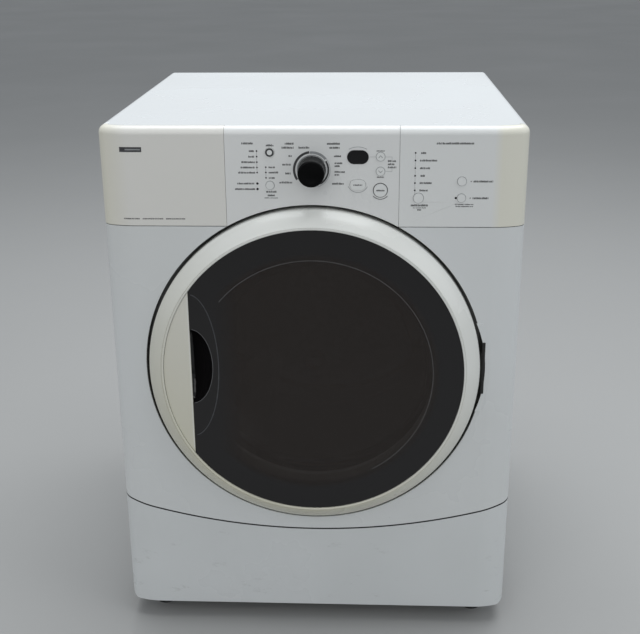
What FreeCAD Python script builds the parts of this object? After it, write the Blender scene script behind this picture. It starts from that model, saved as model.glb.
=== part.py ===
"""Front-loading clothes dryer: cabinet, console, round door, drum and drive.

X is to the user's right, Y goes into the machine and Z is up, in millimetres.  The origin is
on the floor at the middle of the overall length and width.  Depths passed to the helpers are
measured from the plane of the front panel, so a negative depth stands in front of it.
"""
import FreeCAD, Part
import math
import os
import Sketcher

V = FreeCAD.Vector
doc = FreeCAD.newDocument("ClothesDryer")
sheet = doc.addObject("Spreadsheet::Sheet", "Sizes")
nodes = []


class Size:
    """A length that knows its value and the expression that gives it."""

    def __init__(self, value, text):
        self.value = float(value)
        self.text = text

    def __add__(self, other):
        other = as_size(other)
        return Size(self.value + other.value, "(%s + %s)" % (self.text, other.text))

    def __sub__(self, other):
        other = as_size(other)
        return Size(self.value - other.value, "(%s - %s)" % (self.text, other.text))

    def __mul__(self, other):
        other = as_size(other)
        return Size(self.value * other.value, "(%s * %s)" % (self.text, other.text))

    def __truediv__(self, other):
        other = as_size(other)
        return Size(self.value / other.value, "(%s / %s)" % (self.text, other.text))

    def __neg__(self):
        return Size(-self.value, "(-1 * %s)" % self.text)

    __radd__ = __add__

    def __rsub__(self, other):
        return as_size(other) - self


def as_size(number):
    if isinstance(number, Size):
        return number
    return Size(number, "(%.6f)" % number)


def dim(alias, value):
    """One driving dimension: a named cell of the sheet."""
    dim.row += 1
    sheet.set("A%d" % dim.row, alias)
    sheet.set("B%d" % dim.row, str(value))
    sheet.setAlias("B%d" % dim.row, alias)
    return Size(value, "Sizes." + alias)


dim.row = 0

# ---------------------------------------------------------------- driving dimensions
# cabinet
width = dim("cabinet_width", 686)
depth = dim("cabinet_depth", 687)
height = dim("cabinet_height", 914)
steel = dim("steel_gauge", 1.2)
plastic = dim("plastic_wall", 3)
seam = dim("seam_gap", 0.9)
corner = dim("corner_radius", 22)
corner_sweep = dim("corner_sweep_radius", 110)
wrap = dim("front_wrap", 32)
base_height = dim("base_height", 41)
toe_bottom = dim("toe_bottom", 36)
toe_corner = dim("toe_corner_radius", 14)
toe_seam = dim("toe_seam_height", 195.3)
toe_bow = dim("toe_bow_radius", 1080)
toe_gap = dim("toe_seam_gap", 1.8)
console_height = dim("console_height", 161)
console_split = dim("console_split", 138.4)
top_edge = dim("top_edge_radius", 13)
lip = dim("top_panel_lip", 24)
top_setback = dim("top_panel_setback", 15)
flange = dim("panel_flange", 14)
# door
axis_height = dim("door_axis_height", 504)
ring_radius = dim("door_radius", 279)
ring_proud = dim("door_edge_proud", 4)
rim_step = dim("door_rim_step", 28)
rim_proud = dim("door_rim_proud", 30)
door_back = dim("door_back_depth", 18)
liner = dim("door_liner_wall", 3)
door_gap = dim("door_gap", 6)
recess = dim("recess_depth", 26)
window_inset = dim("window_inset", 3)
window_wall = dim("window_wall", 5)
plate_step = dim("handle_plate_step", 75)
plate_wall = dim("handle_plate_wall", 3)
grip_height = dim("grip_height", 518)
grip_half_tall = dim("grip_half_tall", 66.5)
grip_half_wide = dim("grip_half_wide", 33)
grip_deep = dim("grip_depth", 29.5)
glass_step = dim("door_glass_step", 65)
glass_wall = dim("door_glass_wall", 4)
bowl_depth = dim("glass_bowl_depth", 52)
hinge_step = dim("hinge_axis_step", 5)
hinge_half = dim("hinge_half_tall", 77.5)
hinge_lift = dim("hinge_lift", 5.5)
barrel = dim("hinge_barrel_radius", 3)
pin = dim("hinge_pin_radius", 1.6)
knuckle = dim("hinge_knuckle_half", 26)
pin_half = dim("hinge_pin_half", 46)
pocket_gap = dim("hinge_pocket_gap", 14)
fit = dim("running_clearance", 0.05)
clear = dim("free_clearance", 0.3)
# drum
drum_radius = dim("drum_radius", 305)
drum_front = dim("drum_front", 110)
drum_length = dim("drum_length", 508)
throat_step = dim("throat_step", 57)
bulkhead = dim("front_bulkhead_depth", 86)
back_plate = dim("rear_bulkhead_depth", 632)
seal_wall = dim("drum_seal_wall", 13.5)
roller_radius = dim("roller_radius", 30)
roller_width = dim("roller_width", 24)
axle = dim("roller_axle_radius", 5)
baffle_tall = dim("baffle_height", 68)
baffle_half = dim("baffle_half_width", 44)
# drive and air path
motor_x = dim("motor_axis_x", 150)
motor_z = dim("motor_axis_height", 126)
motor_radius = dim("motor_radius", 60)
shaft = dim("motor_shaft_radius", 6)
pulley = dim("motor_pulley_radius", 18)
belt_depth = dim("belt_depth", 480)
belt_width = dim("belt_width", 8)
belt_wall = dim("belt_thickness", 2)
idler_x = dim("idler_axis_x", 80)
idler_z = dim("idler_axis_height", 133)
idler_radius = dim("idler_radius", 16)
pivot_x = dim("idler_pivot_x", 102)
pivot_z = dim("idler_pivot_height", 82)
scroll = dim("blower_housing_radius", 82)
scroll_front = dim("blower_front", 150)
scroll_depth = dim("blower_housing_depth", 80)
duct = dim("exhaust_radius", 50.8)
duct_z = dim("exhaust_height", 113)
duct_proud = dim("exhaust_proud", 25)
collar = dim("exhaust_collar_radius", 50.2)
inlet = dim("blower_inlet_radius", 56)
screen_half = dim("lint_screen_half_width", 106)
screen_wall = dim("lint_screen_thickness", 12)
screen_depth = dim("lint_screen_depth", 63)
screen_low = dim("lint_screen_bottom", 130)
screen_top = dim("lint_screen_top", 292)
# controls
knob_rise = dim("knob_above_console_edge", 93)
knob_radius = dim("knob_radius", 22.3)
knob_proud = dim("knob_proud", 35)
knob_shaft = dim("knob_shaft_radius", 3)
button_proud = dim("button_proud", 2)
button_travel = dim("button_travel", 1.5)
button_gap = dim("button_gap", 0.4)
board_depth = dim("board_depth", 12)
board_wall = dim("board_thickness", 1.6)
# feet and rear connections
foot_x = dim("foot_inset_x", 53)
foot_y = dim("foot_inset_y", 30)
stud = dim("foot_stud_radius", 5)
pad = dim("foot_pad_radius", 18)
cord_hole = dim("cord_hole_radius", 11.1)
cord_x = dim("cord_hole_x", 262)
cord_drop = dim("cord_hole_drop", 76)
doc.recompute()

front = (knob_proud - duct_proud - depth) / 2
half = width / 2
inside = half - steel
console_bottom = height - console_height
knob_z = console_bottom + knob_rise
cord_z = height - cord_drop
rim_radius = ring_radius - rim_step
plate_edge = ring_radius - plate_step
glass_radius = ring_radius - glass_step
throat = ring_radius - throat_step
hinge_x = ring_radius + hinge_step
drum_back = drum_front + drum_length
seat_radius = drum_radius - steel - clear - seal_wall


# ---------------------------------------------------------------- geometry helpers
def bind(feature, **places):
    """Tie each named property of a feature to its size."""
    for name, size in places.items():
        feature.setExpression(name.replace("_", "."), as_size(size).text)


def locate(feature, x, y, z, turn=None):
    """Put a feature's origin at x, depth y and height z."""
    if turn is not None:
        feature.Placement = FreeCAD.Placement(V(0, 0, 0), turn)
    bind(feature, Placement_Base_x=x, Placement_Base_y=front + y, Placement_Base_z=z)
    return feature


def block(x0, x1, y0, y1, z0, z1):
    feature = doc.addObject("Part::Box", "Block")
    bind(feature, Length=as_size(x1) - x0, Width=as_size(y1) - y0, Height=as_size(z1) - z0)
    return locate(feature, x0, y0, z0)


def rod(x, z, y0, y1, radius):
    """A round bar along the depth."""
    feature = doc.addObject("Part::Cylinder", "Rod")
    bind(feature, Radius=radius, Height=as_size(y1) - y0)
    return locate(feature, x, y0, z, FreeCAD.Rotation(V(1, 0, 0), -90))


def post(x, y, z0, z1, radius):
    """A round bar standing upright."""
    feature = doc.addObject("Part::Cylinder", "Post")
    bind(feature, Radius=radius, Height=as_size(z1) - z0)
    return locate(feature, x, y, z0)


def crossbar(x0, x1, y, z, radius):
    """A round bar from left to right."""
    feature = doc.addObject("Part::Cylinder", "Crossbar")
    bind(feature, Radius=radius, Height=as_size(x1) - x0)
    return locate(feature, x0, y, z, FreeCAD.Rotation(V(0, 1, 0), 90))


def ellipsoid(x, y, z, half_x, half_y, half_z):
    feature = doc.addObject("Part::Ellipsoid", "Ellipsoid")
    bind(feature, Radius1=half_z, Radius2=half_x, Radius3=half_y)
    return locate(feature, x, y, z)


def fuse(*shapes):
    feature = doc.addObject("Part::MultiFuse", "Fused")
    feature.Shapes = list(shapes)
    return feature


def common(*shapes):
    feature = doc.addObject("Part::MultiCommon", "Shared")
    feature.Shapes = list(shapes)
    return feature


def cut(base, *tools):
    feature = doc.addObject("Part::Cut", "Trimmed")
    feature.Base = base
    feature.Tool = tools[0] if len(tools) == 1 else fuse(*tools)
    return feature


def group(*shapes):
    """Several separate solids kept in one node."""
    feature = doc.addObject("Part::Compound", "Group")
    feature.Links = list(shapes)
    return feature


def tube(x, z, y0, y1, outer, inner):
    return cut(rod(x, z, y0, y1, outer), rod(x, z, as_size(y0) - 1, as_size(y1) + 1, inner))


def sign(number):
    return (number > 1e-6) - (number < -1e-6)


class Bend:
    """One anticlockwise arc of an outline: its ends, a point between them and its radius."""

    def __init__(self, start, end, middle, radius):
        self.stop = [start, end, middle, radius]


def rounded_path(corners):
    """Edges of a closed outline; an anticlockwise corner of square sides may have a radius."""
    corners = [corner if isinstance(corner, Bend) else tuple(as_size(part) for part in corner)
               for corner in corners]
    stops = []
    for index, here in enumerate(corners):
        if isinstance(here, Bend):
            stops.append(here.stop)
            continue
        if len(here) == 2:
            stops.append([here])
            continue
        before = corners[index - 1]
        after = corners[(index + 1) % len(corners)]
        arrive = [sign(here[k].value - before[k].value) for k in (0, 1)]
        leave = [sign(after[k].value - here[k].value) for k in (0, 1)]
        start = tuple(here[k] - here[2] * arrive[k] for k in (0, 1))
        end = tuple(here[k] + here[2] * leave[k] for k in (0, 1))
        bulge = here[2].value * (1 - math.sqrt(0.5))
        middle = tuple(here[k].value + (leave[k] - arrive[k]) * bulge for k in (0, 1))
        stops.append([start, end, middle, here[2]])
    edges = []
    for index, stop in enumerate(stops):
        if len(stop) > 1:
            edges.append(("arc", stop[0], stop[1], stop[2], stop[3]))
        leave = stop[1] if len(stop) > 1 else stop[0]
        after = stops[(index + 1) % len(stops)][0]
        if math.hypot(after[0].value - leave[0].value, after[1].value - leave[1].value) > 1e-6:
            edges.append(("line", leave, after))
    return edges


def sketch_on(body, plane, corners):
    """A closed sketch on one of the body's own planes, each corner tied to its sizes."""
    drawing = body.newObject("Sketcher::SketchObject", "Outline")
    planes = {item.Role: item for item in body.Origin.OriginFeatures}
    drawing.AttachmentSupport = [(planes[plane], "")]
    drawing.MapMode = "FlatFace"
    edges = rounded_path(corners)
    for edge in edges:
        start = V(edge[1][0].value, edge[1][1].value, 0)
        end = V(edge[2][0].value, edge[2][1].value, 0)
        if edge[0] == "line":
            drawing.addGeometry(Part.LineSegment(start, end), False)
        else:
            drawing.addGeometry(Part.Arc(start, V(edge[3][0], edge[3][1], 0), end), False)
    for index, edge in enumerate(edges):
        after = (index + 1) % len(edges)
        drawing.addConstraint(Sketcher.Constraint("Coincident", index, 2, after, 1))
        across = drawing.addConstraint(Sketcher.Constraint(
            "DistanceX", -1, 1, index, 1, edge[1][0].value))
        up = drawing.addConstraint(Sketcher.Constraint(
            "DistanceY", -1, 1, index, 1, edge[1][1].value))
        drawing.setExpression("Constraints[%d]" % across, edge[1][0].text)
        drawing.setExpression("Constraints[%d]" % up, edge[1][1].text)
        if edge[0] == "arc":
            radius = drawing.addConstraint(Sketcher.Constraint("Radius", index, edge[4].value))
            drawing.setExpression("Constraints[%d]" % radius, edge[4].text)
    return drawing


def padded(plane, corners, length, x=0, y=0, z=0):
    """A body padded from one outline: XY goes up, XZ goes into the depth, YZ to the right."""
    body = doc.addObject("PartDesign::Body", "Body")
    drawing = sketch_on(body, plane, corners)
    pad_feature = body.newObject("PartDesign::Pad", "Pad")
    pad_feature.Profile = drawing
    pad_feature.Reversed = plane == "XZ_Plane"
    bind(pad_feature, Length=length)
    return locate(body, x, y, z)


def turned(profile, x=0, z=0):
    """A body turned about an axis along the depth; the profile holds (radius, depth)."""
    body = doc.addObject("PartDesign::Body", "Turned")
    drawing = sketch_on(body, "XZ_Plane", profile)
    spin = body.newObject("PartDesign::Revolution", "Revolution")
    spin.Profile = drawing
    spin.ReferenceAxis = (drawing, ["V_Axis"])
    spin.Angle = 360
    return locate(body, x, 0, z, FreeCAD.Rotation(V(1, 0, 0), -90))


def round_edges(body, radius, chosen):
    """Fillet the edges of a body for which chosen(edge) is true."""
    doc.recompute()
    tip = body.Tip
    names = ["Edge%d" % (number + 1) for number, edge in enumerate(tip.Shape.Edges)
             if chosen(edge)]
    if not names:
        raise ValueError("no edge to round")
    fillet = body.newObject("PartDesign::Fillet", "Fillet")
    fillet.Base = (tip, names)
    bind(fillet, Radius=radius)
    body.Tip = fillet
    return body


def node(label, feature):
    """Name a finished sub-part; its file has the same name."""
    feature.Label = label
    nodes.append(feature)
    return feature


# ---------------------------------------------------------------- cabinet wrap
sweep_turn = math.radians(22)


def swept_corner(inset, side):
    """The plan of a front corner: a long shallow sweep that tightens into the side."""
    across, along = math.sin(sweep_turn), math.cos(sweep_turn)
    tight, wide = corner - inset, corner_sweep - inset
    tight_x = half - corner
    tight_y = corner_sweep - (corner_sweep - corner) * along
    wide_x = tight_x - (corner_sweep - corner) * across
    meet = ((tight_x + tight * across) * side, tight_y - tight * along)
    turn = (sweep_turn + math.pi / 2) / 2
    tight_middle = ((tight_x.value + tight.value * math.sin(turn)) * side,
                    tight_y.value - tight.value * math.cos(turn))
    turn = sweep_turn / 2
    wide_middle = ((wide_x.value + wide.value * math.sin(turn)) * side,
                   corner_sweep.value - wide.value * math.cos(turn))
    tight_end = ((half - inset) * side, tight_y)
    wide_end = (wide_x * side, inset)
    if side < 0:
        return [Bend(tight_end, meet, tight_middle, tight),
                Bend(meet, wide_end, wide_middle, wide)]
    return [Bend(wide_end, meet, wide_middle, wide), Bend(meet, tight_end, tight_middle, tight)]


def front_outline(inset, back):
    """Plan of the cabinet front: two swept corners, open towards the back."""
    return [(inset - half, back), *swept_corner(inset, -1), *swept_corner(inset, 1),
            (half - inset, back)]


def front_wall(gauge, z0, z1):
    """A plain wall that wraps the two front corners."""
    outer = padded("XY_Plane", front_outline(as_size(0), wrap), z1 - z0, z=z0)
    inner = padded("XY_Plane", front_outline(gauge, wrap + 1), z1 - z0 + 2, z=z0 - 1)
    return cut(outer, inner)


def top_plan(grow):
    """Plan of the top panel: full width behind the wrap, a rounded tongue in front of it."""
    inset = top_setback + seam / 2 - grow
    tongue = half - inset
    step = wrap + seam - grow
    return [(-half, depth), (-half, step), (-tongue, step), *swept_corner(inset, -1),
            *swept_corner(inset, 1), (tongue, step), (half, step), (half, depth)]


def rolled(tall, wide, back):
    """Picks the side and back edges of a padded panel's top face."""
    return lambda edge: (edge.BoundBox.ZMin > tall.value - 0.01
                         and (edge.BoundBox.YMin > back.value - 0.01
                              or abs(edge.BoundBox.XMin) > wide.value - 0.01))


top_outer = round_edges(
    padded("XY_Plane", top_plan(as_size(0)), lip, z=height - lip),
    top_edge, rolled(lip, half, depth))
hollow_front = wrap + seam - 0.01
hollow_back = depth - steel
hollow_lip = lip + 1 - steel
top_hollow = round_edges(
    padded("XY_Plane", [(-inside, hollow_back), (-inside, hollow_front),
                        (inside, hollow_front), (inside, hollow_back)],
           hollow_lip, z=height - lip - 1),
    top_edge - steel, rolled(hollow_lip, inside, hollow_back))
tongue_hollow = block(-half, half, 0, wrap + seam, height - lip - 1, height - steel)
node("top_panel", cut(top_outer, top_hollow, tongue_hollow))

side_top = height - lip - seam / 2
side_front = wrap + seam
side_back = depth - steel * 2
for name, side in (("left_side_panel", -1), ("right_side_panel", 1)):
    outer_face = half * side
    inner_face = (half - steel) * side
    turned_in = (half - flange) * side
    low, high = sorted((outer_face, inner_face), key=lambda size: size.value)
    low_flange, high_flange = sorted((outer_face, turned_in), key=lambda size: size.value)
    node(name, fuse(
        block(low, high, side_front, side_back, base_height, side_top),
        block(low_flange, high_flange, side_front, side_front + steel,
              base_height + 20, side_top),
        block(low_flange, high_flange, side_back - steel, side_back,
              base_height + 20, side_top)))

# the base pan holds the motor cradle and four threaded bosses for the feet
floor_top = base_height + steel
pan_front = side_front + steel * 2
pan_back = side_back - steel * 2
foot_places = [("front_left", -1, 0), ("front_right", 1, 0), ("rear_left", -1, 1),
               ("rear_right", 1, 1)]
foot_spots = {}
for name, side, rear in foot_places:
    spot_y = side_front + foot_y if rear == 0 else side_back - foot_y
    foot_spots[name] = ((half - foot_x) * side, spot_y)
cradle_half = motor_radius - 8
cradles = [block(motor_x - cradle_half, motor_x + cradle_half, y, y + 10, base_height,
                 motor_z - 12) for y in (290, 380)]
bosses = [post(x, y, base_height, base_height + 14, stud + 5) for x, y in foot_spots.values()]
stud_holes = [post(x, y, base_height - 1, base_height + 15, stud + fit)
              for x, y in foot_spots.values()]
# the belt tensioner hangs on a bracket with a pivot pin, beside the motor
belt_front = belt_depth - belt_width
tension_bracket = fuse(
    block(pivot_x - 12, pivot_x + 12, belt_front - 16, belt_front - 13, base_height,
          pivot_z + 12),
    rod(pivot_x, pivot_z, belt_front - 14, belt_front + 6, axle))
pan = fuse(
    block(-inside, inside, pan_front, pan_back, base_height, floor_top),
    block(-inside, inside, pan_front, pan_front + steel, base_height, base_height + 20),
    block(-inside, inside, pan_back - steel, pan_back, base_height, base_height + 20),
    tension_bracket, *(cradles + bosses))
node("base_pan", cut(pan, rod(motor_x, motor_z, 280, 400, motor_radius + 0.1), *stud_holes))

# rear sheet with the exhaust hole, the supply cord hole and two banks of intake slots
rear_front = side_back
slot_rows = 9
slots = [block(x, x + 78, rear_front - 1, rear_front + steel + 1, z, z + 7)
         for x in (-232, 154) for z in [300 + 22 * row for row in range(slot_rows)]]
node("rear_panel", cut(
    block(-half, half, rear_front, rear_front + steel, base_height + 6, side_top),
    rod(0, duct_z, rear_front - 1, rear_front + steel + 1, duct + 0.2),
    rod(cord_x, cord_z, rear_front - 1, rear_front + steel + 1, cord_hole), *slots))

# ---------------------------------------------------------------- front and toe panels
hinge_z = axis_height + hinge_lift
pocket_radius = ring_radius + pocket_gap
recess_radius = ring_radius + door_gap


def recess_space(grow, y0, y1):
    """The round door recess with the hinge pocket on its right."""
    pocket = common(rod(0, axis_height, y0, y1, pocket_radius + grow),
                    block(recess_radius / 2, half, y0, y1,
                          hinge_z - hinge_half - grow, hinge_z + hinge_half + grow))
    return fuse(rod(0, axis_height, y0, y1, recess_radius + grow), pocket)


below_console = console_bottom - seam / 2
bow_z = toe_seam + toe_bow
skin = common(front_wall(steel, toe_seam - 10, below_console),
              rod(0, bow_z, -60, wrap + 10, toe_bow - toe_gap / 2))
drawn = common(cut(recess_space(steel, as_size(0), recess),
                   block(-half, half, -1, plastic + clear, below_console, height)),
               padded("XY_Plane", front_outline(as_size(0), wrap), height))
opening = rod(0, axis_height, recess - steel - 2, recess + 1, throat + 2)
latch_x = ring_radius - 21
latch_slot = block(-latch_x - 9, -latch_x + 9, recess - 3, recess + 2,
                   axis_height - 18, axis_height + 18)
switch_x = latch_x - 13
switch_z = axis_height + 90
switch_hole = rod(-switch_x, switch_z, recess - 3, recess + 2, 4.5)
node("front_panel", cut(fuse(cut(skin, recess_space(as_size(0), as_size(-1), wrap + 20)),
                             cut(drawn, recess_space(as_size(0), as_size(-1), recess - steel))),
                        opening, latch_slot, switch_hole))

toe_shape = padded("XZ_Plane", [
    (-half, toe_bottom, toe_corner), (half, toe_bottom, toe_corner), (half, toe_seam + 90),
    (-half, toe_seam + 90)], wrap + 5, y=-1)
toe_hollow = padded("XY_Plane", front_outline(steel, wrap + 1), toe_seam + 120 - toe_bottom,
                    z=toe_bottom + steel)
toe_solid = padded("XY_Plane", front_outline(as_size(0), wrap), toe_seam + 90 - toe_bottom,
                   z=toe_bottom)


def hook_strip(outer_inset, low_bow, high_bow):
    """Part of the toe panel's hooked top edge, between two bowed lines."""
    back = steel * 2 + clear
    strip = cut(padded("XY_Plane", front_outline(outer_inset, wrap), 120, z=toe_seam - 20),
                padded("XY_Plane", front_outline(back, wrap + 1), 122, z=toe_seam - 21))
    return common(strip, cut(rod(0, bow_z, -60, wrap + 10, low_bow),
                             rod(0, bow_z, -61, wrap + 11, high_bow)))


# its top edge is joggled back and hooks behind the front panel
toe_top = toe_bow + toe_gap / 2
node("toe_panel", fuse(
    cut(common(toe_solid, toe_shape), toe_hollow, rod(0, bow_z, -60, wrap + 10, toe_top)),
    hook_strip(steel - 0.1, toe_top + 8, toe_top),
    hook_strip(steel + clear, toe_top + 1, toe_bow - 7)))

# ---------------------------------------------------------------- console
console_tall = height - console_bottom - seam / 2
console_low = console_bottom + seam / 2


def on_top(length):
    """Picks the front and side edges of a console block's top face."""
    return lambda edge: (edge.BoundBox.ZMin > length - 0.01
                         and edge.BoundBox.YMin < wrap.value - 1)


console_outer = round_edges(
    padded("XY_Plane", front_outline(as_size(0), wrap), console_tall, z=console_low),
    top_edge, on_top(console_tall.value))
hollow_tall = console_tall - plastic + 1
console_inner = round_edges(
    padded("XY_Plane", front_outline(plastic, wrap + 1), hollow_tall, z=console_low - 1),
    top_edge - plastic, on_top(hollow_tall.value))
top_space = padded("XY_Plane", top_plan(seam / 2), 20, z=height - lip + 4)
console_shell = cut(console_outer, console_inner, top_space)

# push buttons: name, x, height over the console's lower edge, radius, and half the
# straight part of a long-round one
buttons = [(name, x, console_bottom + rise, radius, stretch)
           for name, x, rise, radius, stretch in (
               ("power_button", -66.7, 120.9, 7.3, 0),
               ("dryness_button", -67.0, 67.9, 6.4, 0),
               ("time_up_button", 108.4, 114.3, 6.6, 0),
               ("time_down_button", 108.4, 90.8, 6.6, 0),
               ("start_button", 72.8, 69.3, 8.0, 4.5),
               ("stop_button", 108.6, 60.5, 10.6, 0),
               ("temperature_button", 169.1, 48.0, 7.8, 0),
               ("tumble_button", 237.1, 75.2, 6.8, 0),
               ("signal_button", 237.1, 48.2, 6.5, 0))]


def button_prism(x, z, y0, y1, radius, stretch):
    """A round or long-round prism along the depth."""
    if stretch == 0:
        return rod(x, z, y0, y1, radius)
    return fuse(rod(x - stretch, z, y0, y1, radius), rod(x + stretch, z, y0, y1, radius),
                block(x - stretch, x + stretch, y0, y1, z - radius, z + radius))


knob_hole = rod(0, knob_z, -1, plastic + 1, knob_shaft + 1)
centre_holes = [button_prism(x, z, -1, plastic + 1, radius + button_gap, stretch)
                for name, x, z, radius, stretch in buttons if abs(x) < console_split.value]
right_holes = [button_prism(x, z, -1, plastic + 1, radius + button_gap, stretch)
               for name, x, z, radius, stretch in buttons if x > console_split.value]
split = console_split + seam / 4
inner_split = console_split - seam / 4
node("console_left_panel", common(
    console_shell, block(-half - 1, -split, -1, wrap + 5, console_low - 1, height + 1)))
node("console_control_panel", cut(
    common(console_shell,
           block(-inner_split, inner_split, -1, wrap + 5, console_low - 1, height + 1)),
    rod(0, axis_height, -2, wrap + 5, recess_radius), knob_hole, *centre_holes))
node("console_right_panel", cut(
    common(console_shell, block(split, half + 1, -1, wrap + 5, console_low - 1, height + 1)),
    *right_holes))

# the display lens is a long-round window laid on the control panel
display_x, display_rise, display_half, display_radius = 72.6, 113.5, 6.0, 11.0
node("display_window",
     button_prism(display_x, console_bottom + display_rise, as_size(-0.8), as_size(0),
                  display_radius, display_half))

# circuit board with its switches, the knob's encoder and the posts that carry it
switches = [block(x - 3, x + 3, board_depth - 1.4, board_depth, z - 3, z + 3)
            for name, x, z, radius, stretch in buttons]
posts = [rod(x, console_bottom + rise, plastic, board_depth, 3)
         for x in (-115, 40, 125, 150, 262) for rise in (47, 131) if (x, rise) != (150, 47)]
encoder = cut(rod(0, knob_z, plastic, board_depth + board_wall, 9),
              rod(0, knob_z, 0, board_depth + board_wall + 1, knob_shaft + fit))
board = cut(block(-120, 268, board_depth, board_depth + board_wall, console_bottom + 41,
                  console_bottom + 137),
            rod(0, knob_z, board_depth - 1, board_depth + board_wall + 1, 8.9))
node("control_board", fuse(board, encoder, *(switches + posts)))

for name, x, z, radius, stretch in buttons:
    cap = button_prism(x, z, -button_proud, plastic - 0.1, radius, stretch)
    stem = rod(x, z, plastic - 0.2, board_depth - 1.4 - button_travel - 0.2, 1.5)
    node(name, fuse(cap, stem))

knob_cap = turned([(0, -knob_proud), (knob_radius - 3.3, -knob_proud),
                   (knob_radius - 0.9, -knob_proud + 2), (knob_radius, -knob_proud + 26),
                   (knob_radius, -1), (0, -1)], z=knob_z)
node("selector_knob", fuse(knob_cap, rod(0, knob_z, -2, board_depth - 0.5, knob_shaft)))

# ---------------------------------------------------------------- door
slope_top = rim_radius + 2.5
ring_edge = -rim_proud
seat_depth = window_inset + window_wall - rim_proud
ring_body = turned([
    (ring_radius, door_back), (ring_radius, -ring_proud), (slope_top + 3, ring_edge + 3),
    (slope_top, ring_edge), (rim_radius, ring_edge), (rim_radius, seat_depth),
    (rim_radius - 11, seat_depth), (rim_radius - 11, seat_depth + plastic),
    (rim_radius + 1.5, seat_depth + plastic), (ring_radius - plastic, -ring_proud + 7.5),
    (ring_radius - plastic, door_back)], z=axis_height)
round_edges(ring_body, 2.5, lambda edge: abs(edge.BoundBox.XMax - ring_radius.value) < 0.01
            and edge.BoundBox.ZMax < 0)
node("door_ring", ring_body)

window_front = window_inset - rim_proud
window_back = window_front + window_wall
plate_back = window_front + plate_wall
pane_radius = rim_radius - 0.5


def plate_disc(y0, y1, grow):
    """The circular segment to the left of the straight handle edge."""
    return common(rod(0, axis_height, y0, y1, pane_radius),
                  block(-half, -plate_edge + grow, y0 - 1, y1 + 1, 0, height))


grip = (-plate_edge + 3, window_back, grip_height)
pocket_wall = as_size(2.5)
grip_space = ellipsoid(*grip, grip_half_wide, grip_deep, grip_half_tall)
grip_outer = ellipsoid(*grip, grip_half_wide + pocket_wall, grip_deep + pocket_wall,
                       grip_half_tall + pocket_wall)
front_half = block(-half, half, -100, window_back - 1, 0, height)
scoop = common(ellipsoid(-plate_edge - 11, window_front, axis_height + 2, 65, 3, 150),
               block(-plate_edge, 0, -100, window_back, 0, height))
pane = cut(cut(rod(0, axis_height, window_front, window_back, pane_radius),
               plate_disc(window_front, plate_back, as_size(0.2))), scoop)
node("door_window", cut(fuse(pane, cut(grip_outer, front_half)), grip_space))
node("door_handle_plate", plate_disc(window_front, plate_back, as_size(0)))

liner_back = door_back + liner
liner_bore = glass_radius - 9
node("door_inner_panel", turned([
    (liner_bore, door_back - 7), (liner_bore + liner, door_back - 7),
    (liner_bore + liner, door_back),
    (ring_radius - plastic - 4.4, door_back), (ring_radius - plastic - 4.4, door_back - 8),
    (ring_radius - plastic - 0.4, door_back - 8), (ring_radius - plastic - 0.4, door_back),
    (ring_radius - 0.5, door_back), (ring_radius - 0.5, liner_back),
    (liner_bore, liner_back)], z=axis_height))
bowl_step = glass_radius - 18
node("door_glass", turned([
    (0, bowl_depth - glass_wall), (bowl_step - 29, bowl_depth - glass_wall - 2),
    (bowl_step - 6, liner_back), (glass_radius, liner_back), (glass_radius, liner_back + 3.5),
    (bowl_step, liner_back + 3.5), (bowl_step - 26, bowl_depth - 2), (0, bowl_depth)],
    z=axis_height))
node("door_strike", fuse(
    block(-latch_x - 5, -latch_x + 5, liner_back, liner_back + 19,
          axis_height - 10, axis_height + 10),
    block(-latch_x - 8, -latch_x + 8, liner_back, liner_back + 1.6,
          axis_height - 16, axis_height + 16)))

# hinge: the door's knuckle turns on a pin held between the cabinet's two knuckles
leaf_x = ring_radius + 0.4


def knuckle_parts(z0, z1):
    """Cabinet knuckle, its web and the leaf on the pocket wall."""
    return [post(hinge_x, 0, z0, z1, barrel),
            common(fuse(block(hinge_x, pocket_radius, -1, 1, z0, z1),
                        block(hinge_x + 1.6, pocket_radius, 1, recess - steel, z0, z1)),
                   rod(0, axis_height, -2, recess, pocket_radius - 0.1))]


node("hinge_bracket", fuse(
    post(hinge_x, 0, hinge_z - pin_half, hinge_z + pin_half, pin),
    *(knuckle_parts(hinge_z - pin_half, hinge_z - knuckle - clear)
      + knuckle_parts(hinge_z + knuckle + clear, hinge_z + pin_half))))
node("door_hinge_leaf", cut(
    fuse(post(hinge_x, 0, hinge_z - knuckle, hinge_z + knuckle, barrel),
         block(leaf_x, hinge_x - 2, -1, 1, hinge_z - knuckle, hinge_z + knuckle),
         block(leaf_x, leaf_x + 1.6, -1, liner_back + 1.6, hinge_z - knuckle,
               hinge_z + knuckle),
         block(ring_radius - 30, leaf_x + 1.6, liner_back, liner_back + 1.6,
               hinge_z - knuckle, hinge_z + knuckle)),
    post(hinge_x, 0, hinge_z - knuckle - 1, hinge_z + knuckle + 1, pin + fit)))

node("door_gasket", tube(0, axis_height, liner_back + clear, recess - steel, throat + 20,
                         throat + 6))
catch = cut(block(-latch_x - 17, -latch_x + 16, recess, recess + 28,
                  axis_height - 24, axis_height + 24),
            block(-latch_x - 9, -latch_x + 9, recess - 1, recess + 24,
                  axis_height - 18, axis_height + 18))
switch_box = cut(block(-switch_x - 10, -switch_x + 10, recess, recess + 20,
                       switch_z - 12, switch_z + 12),
                 rod(-switch_x, switch_z, recess - 1, recess + 17, 4 + fit))
node("door_latch", group(catch, switch_box))
node("door_switch_plunger", rod(-switch_x, switch_z, liner_back + 0.2, recess + 12, 4))

# ---------------------------------------------------------------- drum and bulkheads
rib_depths = (drum_front + 120, drum_back - 90)
rib_half, rib_tall = 10, 3


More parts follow.
